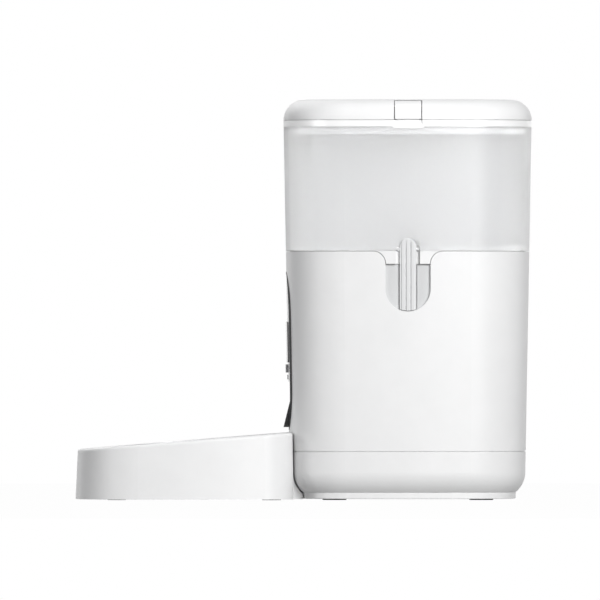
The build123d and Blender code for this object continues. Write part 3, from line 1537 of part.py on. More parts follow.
with BuildPart() as holder_hollow:
    loft([holder_plan(0, holder_wall), holder_plan(holder_high, holder_wall)], ruled=True)
    split(bisect_by=rim_plane.offset(-holder_deck), keep=Keep.BOTTOM)
    add(tower_room_wall.part, mode=Mode.SUBTRACT)
    rods(Plane.XY, column_points, column_radius, holder_high, mode=Mode.SUBTRACT)

with BuildPart() as bowl_holder:
    loft([holder_plan(holder_bottom, 0), holder_plan(holder_high, 0)], ruled=True)
    split(bisect_by=rim_plane, keep=Keep.BOTTOM)
    rim_face = bowl_holder.faces().sort_by(Axis((0, 0, 0), rim_normal))[-1]
    fillet(rim_face.edges(), radius=rim_round)
    block((-toe_half_width, holder_rear - holder_wall, holder_bottom), (toe_half_width, toe_rear, toe_height))
    add(tower_room.part, mode=Mode.SUBTRACT)
    add(holder_hollow.part, mode=Mode.SUBTRACT)
    with BuildSketch(rim_plane) as seat_round:
        Circle(seat_radius)
    extrude(seat_round.sketch, amount=-seat_depth, mode=Mode.SUBTRACT)
    with BuildSketch(rim_plane) as well_round:
        Circle(well_radius)
    extrude(well_round.sketch, amount=-reach, mode=Mode.SUBTRACT)
    rods(Plane.XY.offset(holder_bottom), column_points, pad_radius + fit_gap, pad_sink, mode=Mode.SUBTRACT)
bowl_holder.part.label = "bowl_holder"
export_step(bowl_holder.part, "parts/bowl_holder.step")

# Pads: rubber discs under the holder's four columns.
for number, point in enumerate(column_points, start=1):
    with BuildPart() as holder_pad:
        rods(Plane.XY, [point], pad_radius, holder_bottom + pad_sink)
        chamfer(holder_pad.faces().sort_by(Axis.Z)[0].edges(), length=foot_chamfer / 2)
    holder_pad.part.label = f"holder_pad_{number}"
    export_step(holder_pad.part, f"parts/holder_pad_{number}.step")

# Bowl: a thin pressed dish whose flange drops into the holder's seat.
bowl_thickness = 1.0
bowl_flange_radius = 71.0
bowl_mouth_radius = 66.0
bowl_floor_radius = 52.0
bowl_depth = 31.0
bowl_round = 10.0
flange_top = lid_gap + bowl_thickness - seat_depth
bowl_axis_plane = Plane(
    origin=(0, bowl_y, bowl_rim_z),
    x_dir=(1, 0, 0),
    z_dir=(0, -cos(radians(rim_slope)), -sin(radians(rim_slope))),
)
bowl_axis = Axis((0, bowl_y, bowl_rim_z), rim_normal)

with BuildPart() as dish_room:
    with BuildSketch(bowl_axis_plane) as room_half:
        with BuildLine():
            Polyline(
                (0, flange_top),
                (bowl_mouth_radius - bowl_thickness, flange_top),
                (bowl_floor_radius - bowl_thickness, bowl_thickness - bowl_depth),
                (0, bowl_thickness - bowl_depth),
                close=True,
            )
        make_face()
    revolve(room_half.sketch, axis=bowl_axis)
    fillet(dish_room.faces().sort_by(bowl_axis)[0].edges(), radius=bowl_round - bowl_thickness)

with BuildPart() as bowl:
    with BuildSketch(bowl_axis_plane) as dish_half:
        with BuildLine():
            Polyline(
                (0, flange_top - bowl_thickness),
                (bowl_mouth_radius, flange_top - bowl_thickness),
                (bowl_floor_radius, -bowl_depth),
                (0, -bowl_depth),
                close=True,
            )
        make_face()
    revolve(dish_half.sketch, axis=bowl_axis)
    fillet(bowl.faces().sort_by(bowl_axis)[0].edges(), radius=bowl_round)
    with BuildSketch(rim_plane.offset(flange_top)) as flange:
        Circle(bowl_flange_radius)
    extrude(flange.sketch, amount=-bowl_thickness)
    add(dish_room.part, mode=Mode.SUBTRACT)
bowl.part.label = "bowl"
export_step(bowl.part, "parts/bowl.step")
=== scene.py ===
import bpy
import math
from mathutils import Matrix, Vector


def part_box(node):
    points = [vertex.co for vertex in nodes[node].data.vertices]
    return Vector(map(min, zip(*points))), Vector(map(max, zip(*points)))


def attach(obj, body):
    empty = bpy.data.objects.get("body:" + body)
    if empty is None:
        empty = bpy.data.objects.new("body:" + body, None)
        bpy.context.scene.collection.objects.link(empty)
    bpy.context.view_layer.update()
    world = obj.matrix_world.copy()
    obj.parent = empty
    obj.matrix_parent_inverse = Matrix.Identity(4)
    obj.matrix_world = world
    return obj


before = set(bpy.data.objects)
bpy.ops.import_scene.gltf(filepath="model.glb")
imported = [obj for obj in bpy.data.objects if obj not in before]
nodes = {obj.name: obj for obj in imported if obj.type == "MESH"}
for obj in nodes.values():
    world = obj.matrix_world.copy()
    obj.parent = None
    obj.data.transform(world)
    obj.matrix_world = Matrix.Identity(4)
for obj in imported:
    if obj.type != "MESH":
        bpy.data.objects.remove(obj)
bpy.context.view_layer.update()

# Camera: a long lens on the feeder's right side, level with the middle of its height, so that
# upright edges stay upright. The picture is square, so its width is also its height.
camera_distance = 18.0
view_width = 0.4507
view_middle_y = -0.0027
view_middle_z = 0.1498
sensor_width = 36.0
camera_data = bpy.data.cameras.new("side_camera")
camera_data.sensor_width = sensor_width
camera_data.lens = sensor_width * camera_distance / view_width
camera_data.clip_start = 1.0
camera_data.clip_end = 60.0
camera = bpy.data.objects.new("side_camera", camera_data)
camera.location = (camera_distance, view_middle_y, view_middle_z)
camera.rotation_euler = (math.radians(90), 0, math.radians(90))
bpy.context.scene.collection.objects.link(camera)
bpy.context.scene.camera = camera

# Studio lights: a soft key from the rear right, a weak fill from the front right, a soft light
# from above and one from the far side. Each is a square panel turned towards one point.
# Name, azimuth and elevation in degrees, distance and size in metres, power in watts:
light_panels = (
    ("key", 114, 17, 2.2, 0.9, 41),
    ("fill", 28, 12, 2.4, 0.9, 11),
    ("top", 85, 80, 2.0, 1.2, 7),
    ("back", 300, 35, 2.4, 1.4, 12),
)
lit_point = Vector((0.0, 0.04, 0.15))
bpy.context.scene.view_settings.view_transform = "Standard"
for name, azimuth, elevation, distance, size, power in light_panels:
    lamp = bpy.data.lights.new(name, "AREA")
    lamp.shape = "SQUARE"
    lamp.size = size
    lamp.energy = power
    panel = bpy.data.objects.new(name, lamp)
    turn, rise = math.radians(azimuth), math.radians(elevation)
    away = Vector((math.sin(turn) * math.cos(rise), -math.cos(turn) * math.cos(rise), math.sin(rise)))
    panel.location = lit_point + away * distance
    panel.rotation_mode = "QUATERNION"
    panel.rotation_quaternion = away.to_track_quat("Z", "Y")
    bpy.context.scene.collection.objects.link(panel)


# Studio air: a dim and slightly blue room for the light that it gives, and plain white where the
# camera sees it straight, through the clear tank or in a shiny face.
def set_sockets(node, sockets):
    """Sets a node's sockets, each by its name or its number."""
    for socket, value in sockets.items():
        node.inputs[socket].default_value = value


def add_node(tree, kind, sockets):
    """Adds a node to a tree and sets its sockets."""
    node = tree.nodes.new(kind)
    set_sockets(node, sockets)
    return node


def largest(tree, first, *others):
    """The largest of several values."""
    for other in others:
        larger = tree.nodes.new("ShaderNodeMath")
        larger.operation = "MAXIMUM"
        tree.links.new(first, larger.inputs[0])
        tree.links.new(other, larger.inputs[1])
        first = larger.outputs[0]
    return first


def seen_or_shiny(tree):
    """1 on a ray from the camera, through a clear piece or off a shiny one, else 0."""
    rays = tree.nodes.new("ShaderNodeLightPath").outputs
    return largest(tree, rays["Is Camera Ray"], rays["Is Transmission Ray"], rays["Is Glossy Ray"])


studio = bpy.data.worlds.new("studio")
studio.use_nodes = True
bpy.context.scene.world = studio
tree = studio.node_tree
tree.nodes.clear()
soft_air = add_node(tree, "ShaderNodeBackground", {"Color": (0.95, 0.97, 1.0, 1), "Strength": 0.13})
white_air = add_node(tree, "ShaderNodeBackground", {"Color": (1, 1, 1, 1), "Strength": 1.0})
mix_air = tree.nodes.new("ShaderNodeMixShader")
tree.links.new(seen_or_shiny(tree), mix_air.inputs[0])
tree.links.new(soft_air.outputs[0], mix_air.inputs[1])
tree.links.new(white_air.outputs[0], mix_air.inputs[2])
world_out = tree.nodes.new("ShaderNodeOutputWorld")
tree.links.new(mix_air.outputs[0], world_out.inputs["Surface"])

# Floor: a round sheet of pale paper under the feeder. It shows nearly white and keeps a faint
# shadow, and it throws back little light, so that the feeder's lower walls stay grey.
floor_radius = 1.6
floor_middle_y = 0.05
floor_corners = 96
paper_whiteness = 0.985
floor_ring = [
    (
        floor_radius * math.cos(math.tau * corner / floor_corners),
        floor_middle_y + floor_radius * math.sin(math.tau * corner / floor_corners),
        0.0,
    )
    for corner in range(floor_corners)
]
floor_mesh = bpy.data.meshes.new("studio_floor")
floor_mesh.from_pydata(floor_ring, [], [list(range(floor_corners))])
studio_floor = bpy.data.objects.new("studio_floor", floor_mesh)
bpy.context.scene.collection.objects.link(studio_floor)
paper = bpy.data.materials.new("pale_paper")
paper.use_nodes = True
tree = paper.node_tree
tree.nodes.clear()
how_white = add_node(tree, "ShaderNodeMath", {1: paper_whiteness})
how_white.operation = "MULTIPLY"
tree.links.new(seen_or_shiny(tree), how_white.inputs[0])
matt = add_node(tree, "ShaderNodeBsdfDiffuse", {"Color": (0.24, 0.24, 0.24, 1)})
glow = add_node(tree, "ShaderNodeEmission", {"Strength": 1.0})
mix_paper = tree.nodes.new("ShaderNodeMixShader")
tree.links.new(how_white.outputs[0], mix_paper.inputs[0])
tree.links.new(matt.outputs[0], mix_paper.inputs[1])
tree.links.new(glow.outputs[0], mix_paper.inputs[2])
paper_out = tree.nodes.new("ShaderNodeOutputMaterial")
tree.links.new(mix_paper.outputs[0], paper_out.inputs["Surface"])
floor_mesh.materials.append(paper)


# Base plate and battery hatch: the skirt under the tray, injection-moulded ABS with a fine
# spark-eroded grain. The plate is screwed up into the tray, and the hatch lies flush in it.
def new_finish(name):
    """A new material, its tree, its skin and the object's own space to lay patterns in."""
    finish = bpy.data.materials.new(name)
    finish.use_nodes = True
    tree = finish.node_tree
    place = tree.nodes.new("ShaderNodeTexCoord")
    return finish, tree, tree.nodes["Principled BSDF"], place.outputs["Object"]


def noise(tree, place, scale, detail, roughness=0.5):
    """Noise laid in a space."""
    texture = add_node(tree, "ShaderNodeTexNoise", {"Scale": scale, "Detail": detail, "Roughness": roughness})
    tree.links.new(place, texture.inputs["Vector"])
    return texture.outputs["Fac"]


def uneven_gloss(tree, skin, pattern, low, high):
    """Roughness that wanders between two values with a pattern."""
    gloss = add_node(tree, "ShaderNodeMapRange", {"To Min": low, "To Max": high})
    tree.links.new(pattern, gloss.inputs["Value"])
    tree.links.new(gloss.outputs["Result"], skin.inputs["Roughness"])


def fine_relief(tree, skin, pattern, strength, depth):
    """Shallow unevenness that follows a pattern."""
    relief = add_node(tree, "ShaderNodeBump", {"Strength": strength, "Distance": depth})
    tree.links.new(pattern, relief.inputs["Height"])
    tree.links.new(relief.outputs["Normal"], skin.inputs["Normal"])


def moulded_plastic(name, colour, roughness, grain=0.00035, depth=0.00004, mottle=0.015, coat=0.0):
    """Moulded plastic with a fine grain, faint clouding and uneven gloss."""
    plastic, tree, skin, place = new_finish(name)
    set_sockets(skin, {"Coat Weight": coat, "Coat Roughness": 0.12})
    clouds = noise(tree, place, scale=38.0, detail=5.0, roughness=0.6)
    shade = tree.nodes.new("ShaderNodeValToRGB")
    darker, paler = shade.color_ramp.elements
    darker.position = 0.3
    paler.position = 0.7
    darker.color = tuple(c * (1 - mottle) for c in colour) + (1,)
    paler.color = tuple(min(1, c * (1 + mottle)) for c in colour) + (1,)
    tree.links.new(clouds, shade.inputs["Fac"])
    tree.links.new(shade.outputs["Color"], skin.inputs["Base Color"])
    uneven_gloss(tree, skin, clouds, low=roughness - 0.05, high=roughness + 0.05)
    pits = noise(tree, place, scale=1.0 / grain, detail=2.0)
    fine_relief(tree, skin, pits, strength=0.5, depth=depth)
    return plastic


def finish_nodes(material, *names):
    """Gives nodes a material through their own slots."""
    for name in names:
        for slot in nodes[name].material_slots:
            slot.material = material


shell_colour = (0.85, 0.85, 0.85)
shell_roughness = 0.42
shell_white = moulded_plastic("shell_white", shell_colour, shell_roughness)
finish_nodes(shell_white, "base_plate", "battery_cover")

# Feet: four discs of dark grey rubber under the base plate, each pressed into a round seat.
# Their skin is matt and coarse, so that they grip the table.
foot_rubber = moulded_plastic(
    "foot_rubber", (0.12, 0.12, 0.12), roughness=0.8, grain=0.0006, depth=0.0001, mottle=0.12
)
finish_nodes(foot_rubber, "foot_1", "foot_2", "foot_3", "foot_4")


# Base and hatch screws: small plated steel screws. The long ones go up through the plate into
# the tray's bosses, and the two short ones hold the hatch on the battery box.
def drawn_metal(name, colour, roughness, line_scale):
    """Plated or drawn metal with fine lines round the upright axis."""
    metal, tree, skin, place = new_finish(name)
    set_sockets(skin, {"Metallic": 1.0, "Base Color": colour + (1,)})
    stretch = add_node(tree, "ShaderNodeMapping", {"Scale": (60, 60, line_scale)})
    tree.links.new(place, stretch.inputs["Vector"])
    lines = noise(tree, stretch.outputs["Vector"], scale=1.0, detail=3.0)
    uneven_gloss(tree, skin, lines, low=roughness - 0.08, high=roughness + 0.1)
    fine_relief(tree, skin, lines, strength=0.35, depth=0.00002)
    return metal


screw_steel = drawn_metal("screw_steel", (0.5, 0.5, 0.52), roughness=0.35, line_scale=3000)
finish_nodes(screw_steel, "base_screws", "battery_screws")

# Battery box and contacts: a plain grey ABS box with three bays for large round cells, standing
# on the base plate over the hatch. A plated steel contact stands at each end of each bay.
inner_grey = moulded_plastic("inner_grey", (0.33, 0.34, 0.35), roughness=0.5, mottle=0.03)
plated_steel = drawn_metal("plated_steel", (0.66, 0.65, 0.62), roughness=0.28, line_scale=1500)
finish_nodes(inner_grey, "battery_box")
finish_nodes(plated_steel, "battery_contacts")


# Battery springs: one conical coil of plated spring wire in each bay, wound wide at the contact
# plate that it is fixed on and narrow at the cell.
def new_tree(name, inputs):
    """A geometry node tree with named number inputs, its way in and its way out."""
    tree = bpy.data.node_groups.new(name, "GeometryNodeTree")
    tree.interface.new_socket("Geometry", in_out="INPUT", socket_type="NodeSocketGeometry")
    for label in inputs:
        tree.interface.new_socket(label, in_out="INPUT", socket_type="NodeSocketFloat")
    tree.interface.new_socket("Geometry", in_out="OUTPUT", socket_type="NodeSocketGeometry")
    return tree, tree.nodes.new("NodeGroupInput"), tree.nodes.new("NodeGroupOutput")


def close_tree(tree, way_out, last_socket, material):
    """Ends a tree with realised instances that carry one material."""
    real = tree.nodes.new("GeometryNodeRealizeInstances")
    paint = add_node(tree, "GeometryNodeSetMaterial", {"Material": material})
    tree.links.new(last_socket, real.inputs[0])
    tree.links.new(real.outputs[0], paint.inputs["Geometry"])
    tree.links.new(paint.outputs[0], way_out.inputs["Geometry"])


def grown_piece(name, seed_points, tree, values, material):
    """Evaluates a tree on seed points and keeps the outcome as a plain mesh piece."""
    seed = bpy.data.meshes.new(name + "_seed")
    seed.from_pydata(seed_points, [], [])
    grower = bpy.data.objects.new(name + "_grower", seed)
    bpy.context.scene.collection.objects.link(grower)
    growth = grower.modifiers.new("growth", "NODES")
    growth.node_group = tree
    for item in tree.interface.items_tree:
        if item.in_out == "INPUT" and item.name in values:
            growth[item.identifier] = values[item.name]
    ready = grower.evaluated_get(bpy.context.evaluated_depsgraph_get())
    mesh = bpy.data.meshes.new_from_object(ready)
    bpy.data.objects.remove(grower)
    mesh.name = name
    mesh.materials.clear()
    mesh.materials.append(material)
    for face in mesh.polygons:
        face.use_smooth = True
    piece = bpy.data.objects.new(name, mesh)
    bpy.context.scene.collection.objects.link(piece)
    return piece


spring_values = {"Foot Radius": 0.0055, "Head Radius": 0.0028, "Length": 0.009, "Wire": 0.0004}
bay_pitch = 0.0358
foot_from_wall = 0.0009
tree, way_in, way_out = new_tree("spring_growth", spring_values)
coil = add_node(tree, "GeometryNodeCurveSpiral", {"Resolution": 28, "Rotations": 4.5})
tree.links.new(way_in.outputs["Foot Radius"], coil.inputs["Start Radius"])
tree.links.new(way_in.outputs["Head Radius"], coil.inputs["End Radius"])
tree.links.new(way_in.outputs["Length"], coil.inputs["Height"])
wire_round = add_node(tree, "GeometryNodeCurvePrimitiveCircle", {"Resolution": 10})
tree.links.new(way_in.outputs["Wire"], wire_round.inputs["Radius"])
wound = add_node(tree, "GeometryNodeCurveToMesh", {"Fill Caps": True})
tree.links.new(coil.outputs["Curve"], wound.inputs["Curve"])
tree.links.new(wire_round.outputs["Curve"], wound.inputs["Profile Curve"])
placed = add_node(tree, "GeometryNodeInstanceOnPoints", {"Rotation": (math.radians(-90), 0, 0)})
tree.links.new(way_in.outputs["Geometry"], placed.inputs["Points"])
tree.links.new(wound.outputs[0], placed.inputs["Instance"])
close_tree(tree, way_out, placed.outputs[0], plated_steel)
contact_low, contact_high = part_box("battery_contacts")
spring_y = contact_low[1] + foot_from_wall
spring_z = (contact_low[2] + contact_high[2]) / 2
spring_points = [(bay * bay_pitch, spring_y, spring_z) for bay in (-1, 0, 1)]
battery_springs = grown_piece("battery_springs", spring_points, tree, spring_values, plated_steel)
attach(battery_springs, "tower")

# Base tray: the lower casing, its foot rolled in under the tower in one large curve. It is the
# same grained ABS moulding as the plate that closes it from below.
finish_nodes(shell_white, "base_tray")

# Power socket: near-black satin plastic with a bore for the plug and a centre pin. Its round
# body passes through the tray's rear wall, and a nut inside keeps it there.
dark_satin = moulded_plastic("dark_satin", (0.035, 0.035, 0.037), roughness=0.38, mottle=0.1)
finish_nodes(dark_satin, "power_socket")

# Deck: the grey ABS bulkhead across the tower, screwed down from above. It carries the tank's
# drum in a low ring, and the outlet to the chute is cut through its front half.
finish_nodes(inner_grey, "deck")
finish_nodes(screw_steel, "deck_screws")

# Drive bearing: a sintered bronze bush for the drive shaft, pressed into the deck from below
# and flanged underneath.
bush_bronze = drawn_metal("bush_bronze", (0.62, 0.43, 0.2), roughness=0.45, line_scale=2000)
finish_nodes(bush_bronze, "drive_bearing")

# Gears and spigot: natural acetal, slightly waxy. The gear turns on its shaft in the pan, the
# pinion sits on the motor's shaft, and the six-sided spigot on top drives the rotor.
gear_acetal = moulded_plastic("gear_acetal", (0.82, 0.8, 0.74), roughness=0.35, grain=0.0008, depth=0.00002)
finish_nodes(gear_acetal, "drive_gear", "drive_spigot", "motor_pinion")

# Gearbox cover and motor: a grey ABS pan round both gears, screwed up under the deck, and a
# round motor can of plated steel with its reduction head, hung under the pan.
finish_nodes(inner_grey, "gearbox_cover")
finish_nodes(screw_steel, "gearbox_screws")
finish_nodes(plated_steel, "gear_motor")

# Main board: green solder mask over copper tracks that show a little paler, screwed upright on
# posts at the shell's rear wall. The radio module under its steel can is soldered on it.
board_green, tree, skin, place = new_finish("board_green")
set_sockets(skin, {"Roughness": 0.3})
tracks = add_node(tree, "ShaderNodeTexVoronoi", {"Scale": 260.0})
tracks.distance = "MANHATTAN"
tracks.feature = "DISTANCE_TO_EDGE"
tree.links.new(place, tracks.inputs["Vector"])
mask = tree.nodes.new("ShaderNodeValToRGB")
over_track, beside_track = mask.color_ramp.elements
over_track.position = 0.04
beside_track.position = 0.07
over_track.color = (0.06, 0.28, 0.12, 1)
beside_track.color = (0.02, 0.13, 0.05, 1)
tree.links.new(tracks.outputs["Distance"], mask.inputs["Fac"])
tree.links.new(mask.outputs["Color"], skin.inputs["Base Color"])
finish_nodes(board_green, "main_board")
finish_nodes(screw_steel, "board_screws")
finish_nodes(plated_steel, "radio_module")


# Tower shell: the tall outer casing of grained ABS, standing on the tray. The sunk floors of its
# finger recesses are painted an even light grey: painted shade for the shade that falls in them.
def skin_of(material):
    """The skin of a finished material, for what only one piece needs."""
    return material.node_tree.nodes["Principled BSDF"]


def from_middle(tree, place, middle, reach=(1, 1, 1)):
    """How far a point lies from a middle along X, Y and Z, in shares of a reach."""
    box = add_node(tree, "ShaderNodeMapping", {"Location": middle, "Scale": reach})
    box.vector_type = "TEXTURE"
    tree.links.new(place, box.inputs["Vector"])
    away = tree.nodes.new("ShaderNodeVectorMath")
    away.operation = "ABSOLUTE"
    tree.links.new(box.outputs["Vector"], away.inputs[0])
    split = tree.nodes.new("ShaderNodeSeparateXYZ")
    tree.links.new(away.outputs["Vector"], split.inputs["Vector"])
    return split.outputs


# Painted shade: a box round each finger recess, inside which the shell's base colour turns light grey.
recess_middle = (0.0, 0.0781, 0.1637)
recess_reach = (0.0824, 0.0174, 0.0228)
recess_painted_shade = (0.64, 0.645, 0.65, 1)
tower_white = moulded_plastic("tower_white", shell_colour, shell_roughness)
tree, skin = tower_white.node_tree, skin_of(tower_white)
place = tree.nodes["Texture Coordinate"].outputs["Object"]
across, along, up = from_middle(tree, place, recess_middle, recess_reach)
inside = add_node(tree, "ShaderNodeMath", {1: 1.0})
inside.operation = "LESS_THAN"
tree.links.new(largest(tree, across, along, up), inside.inputs[0])
# This mix puts the painted shade's grey into the recess floors' base colour.
painted_shade_mix = tree.nodes.new("ShaderNodeMix")
painted_shade_mix.data_type = "RGBA"
# A Mix node's two colours are its sockets 6 and 7, and the mixed colour is its output 2.
painted_shade_mix.inputs[7].default_value = recess_painted_shade
tree.links.new(inside.outputs[0], painted_shade_mix.inputs[0])
tree.links.new(skin.inputs["Base Color"].links[0].from_socket, painted_shade_mix.inputs[6])
tree.links.new(painted_shade_mix.outputs[2], skin.inputs["Base Color"])
finish_nodes(tower_white, "tower_shell")

# Chute and front frame: near-black satin plastic. The chute is the duct from the deck down to
# the lip over the bowl, and the frame is the band set in round the shell's front opening.
finish_nodes(dark_satin, "chute", "front_frame")

# Front cover: the white panel in the frame, moulded smoother and glossier than the shell. Its
# window is a smoked sheet, dark because the display is off, and a small grey lens is the light.
gloss_white = moulded_plastic(
    "gloss_white", (0.88, 0.88, 0.88), roughness=0.24, grain=0.0012, depth=0.00001, coat=0.15
)
window_smoke = moulded_plastic(
    "window_smoke", (0.13, 0.13, 0.135), roughness=0.12, grain=0.004, depth=0.000004, mottle=0.05, coat=0.4
)
lens_grey = moulded_plastic("lens_grey", (0.4, 0.41, 0.42), roughness=0.3)
finish_nodes(gloss_white, "front_cover")
finish_nodes(window_smoke, "display_window")
finish_nodes(lens_grey, "status_light")

# Feed button: an oval cap of darker grey plastic, kept in by its collar behind the cover. It
# presses the switch on the control board, which also holds the display's module.
button_grey = moulded_plastic("button_grey", (0.3, 0.3, 0.31), roughness=0.35, grain=0.0008)
finish_nodes(button_grey, "feed_button")
finish_nodes(board_green, "control_board")
finish_nodes(dark_satin, "display_module", "feed_switch")

# Tank base: the white ABS funnel that the clear tank is welded on. It leads down to the drum,
# which the grey drum floor closes, with the six-vaned rotor turning on it.
finish_nodes(shell_white, "tank_base")
finish_nodes(inner_grey, "drum_floor", "rotor")

# Stirrer: a soft cone with three arms, cast in milky silicone rubber and pushed on the rotor's
# hub, where it keeps the food loose.
silicone = moulded_plastic("silicone", (0.74, 0.74, 0.75), roughness=0.55, grain=0.002)
set_sockets(skin_of(silicone), {"Subsurface Weight": 0.2, "Subsurface Scale": 0.002})
finish_nodes(silicone, "stirrer")

# Food tank and flow guard: clear plastic with a light frost. The flat walls are pale grey, and the
# corners are painted whiter and made clearer: a painted highlight for the white room that they
# reflect. The guard is the shelf over the outlet, held in the funnel.
# Painted highlight: towards each corner the base colour goes from the walls' pale grey to white, and the
# plastic grows clearer.
tank_middle = (0.0, 0.0781, 0.0)
corner_start = {"X": 0.02, "Y": 0.068}
corner_end = {"X": 0.06, "Y": 0.088}
flat_wall_colour = (0.86, 0.863, 0.867, 1)
flat_wall_clearness = 0.75
tank_frost, tree, skin, place = new_finish("tank_frost")
set_sockets(skin, {"IOR": 1.15, "Sheen Weight": 0.6, "Sheen Roughness": 0.4})
set_sockets(skin, {"Coat Weight": 0.5, "Coat Roughness": 0.35, "Coat IOR": 1.6})
flow = noise(tree, place, scale=45.0, detail=4.0)
uneven_gloss(tree, skin, flow, low=0.62, high=0.72)
fine_relief(tree, skin, flow, strength=0.15, depth=0.0003)
from_tank = from_middle(tree, place, tank_middle)
corner_highlight_mask = tree.nodes.new("ShaderNodeMath")
corner_highlight_mask.operation = "MULTIPLY"
for axis, factor in zip("XY", corner_highlight_mask.inputs):
    near_end = add_node(
        tree, "ShaderNodeMapRange", {"From Min": corner_start[axis], "From Max": corner_end[axis]}
    )
    tree.links.new(from_tank[axis], near_end.inputs["Value"])
    tree.links.new(near_end.outputs["Result"], factor)
corner_painted_highlight = tree.nodes.new("ShaderNodeValToRGB")
corner_painted_highlight.color_ramp.elements[0].color = flat_wall_colour
corner_painted_highlight.color_ramp.elements[1].color = (1, 1, 1, 1)
tree.links.new(corner_highlight_mask.outputs[0], corner_painted_highlight.inputs["Fac"])
tree.links.new(corner_painted_highlight.outputs["Color"], skin.inputs["Base Color"])
clearness = add_node(tree, "ShaderNodeMapRange", {"To Min": flat_wall_clearness, "To Max": 1.0})
tree.links.new(corner_highlight_mask.outputs[0], clearness.inputs["Value"])
tree.links.new(clearness.outputs["Result"], skin.inputs["Transmission Weight"])
finish_nodes(tank_frost, "tank", "flow_guard")

# Release tongues: ribbed strips of milky plastic, hung in the tank's slots. They lie in the
# finger recesses and are pressed in to free the tank.
tongue_frost = moulded_plastic("tongue_frost", (0.72, 0.725, 0.73), roughness=0.35)
finish_nodes(tongue_frost, "tongue_left", "tongue_right")

# Tank collar: the bright polished ring on the tank's rim, white ABS with a finger notch and a
# catch on each side. Its lower edge laps into the clear wall.
rim_white = moulded_plastic(
    "rim_white", (0.97, 0.97, 0.97), roughness=0.25, grain=0.0012, depth=0.00001, coat=1.0
)
set_sockets(skin_of(rim_white), {"Coat Roughness": 0.3, "Coat IOR": 2.0, "Sheen Weight": 0.8})
finish_nodes(rim_white, "tank_collar")

# Lid: a shallow white ABS shell with one large curve round its top edge, and a well for each
# latch. Its grain is wider and shallower than the tower's.
lid_white = moulded_plastic("lid_white", (0.87, 0.87, 0.87), roughness=0.45, grain=0.0008, depth=0.00002)
finish_nodes(lid_white, "lid")

# Latches: curved tabs of glossy white ABS, flush with the lid's edge. Each swings out of its
# well on a plated steel pin.
finish_nodes(gloss_white, "latch_left", "latch_right")
finish_nodes(plated_steel, "latch_pin_left", "latch_pin_right")

# Lid liner: a white moulding screwed up into the lid. It closes the lid from below, and its
# plug reaches into the tank with the silicone gasket round it.
liner_white = moulded_plastic("liner_white", (0.84, 0.84, 0.83), roughness=0.5)
finish_nodes(liner_white, "lid_liner")
finish_nodes(screw_steel, "lid_screws")
finish_nodes(silicone, "lid_gasket")

# Desiccant box and cap: an upturned cup under the liner with three lugs, and the perforated
# cap that twists onto them. Both are the liner's white plastic.
finish_nodes(liner_white, "desiccant_box", "desiccant_cap")

# Desiccant: a loose layer of silica beads lying on the perforated cap. Each bead is wider than
# a vent, so that none falls through.
bead_values = {"Room Radius": 0.0225, "Spacing": 0.0036, "Bead Radius": 0.0017}
cap_floor = 0.002
bead_gap = 0.0001
bead_glass = moulded_plastic("bead_glass", (0.78, 0.8, 0.82), roughness=0.2, grain=0.0005, depth=0.00002)
set_sockets(skin_of(bead_glass), {"Transmission Weight": 0.5})
tree, way_in, way_out = new_tree("bead_growth", bead_values)
layer = add_node(tree, "GeometryNodeMeshCircle", {"Vertices": 48})
layer.fill_type = "NGON"
tree.links.new(way_in.outputs["Room Radius"], layer.inputs["Radius"])
strewn = tree.nodes.new("GeometryNodeDistributePointsOnFaces")
strewn.distribute_method = "POISSON"
set_sockets(strewn, {"Density Max": 400000.0, "Seed": 7})
tree.links.new(layer.outputs["Mesh"], strewn.inputs["Mesh"])
tree.links.new(way_in.outputs["Spacing"], strewn.inputs["Distance Min"])
ball = add_node(tree, "GeometryNodeMeshIcoSphere", {"Subdivisions": 3})
tree.links.new(way_in.outputs["Bead Radius"], ball.inputs["Radius"])
beaded = tree.nodes.new("GeometryNodeInstanceOnPoints")
tree.links.new(strewn.outputs["Points"], beaded.inputs["Points"])
tree.links.new(ball.outputs["Mesh"], beaded.inputs["Instance"])
moved = tree.nodes.new("GeometryNodeInstanceOnPoints")
tree.links.new(way_in.outputs["Geometry"], moved.inputs["Points"])
tree.links.new(beaded.outputs[0], moved.inputs["Instance"])
close_tree(tree, way_out, moved.outputs[0], bead_glass)
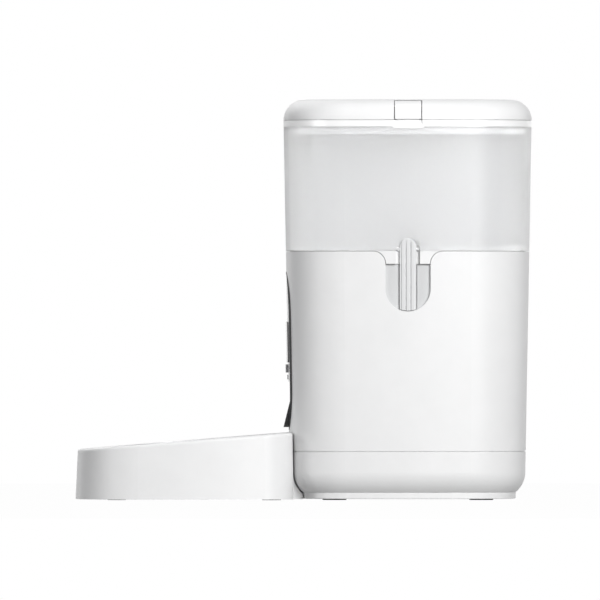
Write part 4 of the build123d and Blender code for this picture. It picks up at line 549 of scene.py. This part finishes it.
cap_low, cap_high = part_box("desiccant_cap")
layer_middle = (
    (cap_low[0] + cap_high[0]) / 2,
    (cap_low[1] + cap_high[1]) / 2,
    cap_low[2] + cap_floor + bead_values["Bead Radius"] + bead_gap,
)
desiccant_beads = grown_piece("desiccant_beads", [layer_middle], tree, bead_values, bead_glass)
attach(desiccant_beads, "desiccant_cap")

# Bowl holder: the sloping stand in front of the tower, one grained ABS moulding like the shell.
# It slides in under the rolled tray and stands on four rubber pads, pressed in like the feet.
finish_nodes(shell_white, "bowl_holder")
finish_nodes(foot_rubber, "holder_pad_1", "holder_pad_2", "holder_pad_3", "holder_pad_4")

# Bowl: stainless sheet, pressed to a dish and brushed round its own tilted axis. Its flange
# drops into the holder's seat, and it lifts out for washing.
bowl_middle = (0.0, -0.0895, 0.0441)
bowl_tilt = math.radians(4.53)
brushed, tree, skin, place = new_finish("brushed_steel")
set_sockets(skin, {"Metallic": 1.0, "Base Color": (0.68, 0.68, 0.69, 1)})
upright = add_node(tree, "ShaderNodeMapping", {"Location": bowl_middle, "Rotation": (bowl_tilt, 0, 0)})
upright.vector_type = "TEXTURE"
tree.links.new(place, upright.inputs["Vector"])
split = tree.nodes.new("ShaderNodeSeparateXYZ")
tree.links.new(upright.outputs["Vector"], split.inputs["Vector"])
level = tree.nodes.new("ShaderNodeCombineXYZ")
tree.links.new(split.outputs["X"], level.inputs["X"])
tree.links.new(split.outputs["Y"], level.inputs["Y"])
from_axis = tree.nodes.new("ShaderNodeVectorMath")
from_axis.operation = "LENGTH"
tree.links.new(level.outputs["Vector"], from_axis.inputs[0])
line_place = tree.nodes.new("ShaderNodeCombineXYZ")
tree.links.new(from_axis.outputs["Value"], line_place.inputs["X"])
tree.links.new(split.outputs["Z"], line_place.inputs["Y"])
brush_lines = noise(tree, line_place.outputs["Vector"], scale=2600.0, detail=3.0)
uneven_gloss(tree, skin, brush_lines, low=0.2, high=0.4)
fine_relief(tree, skin, brush_lines, strength=0.4, depth=0.00002)
finish_nodes(brushed, "bowl")
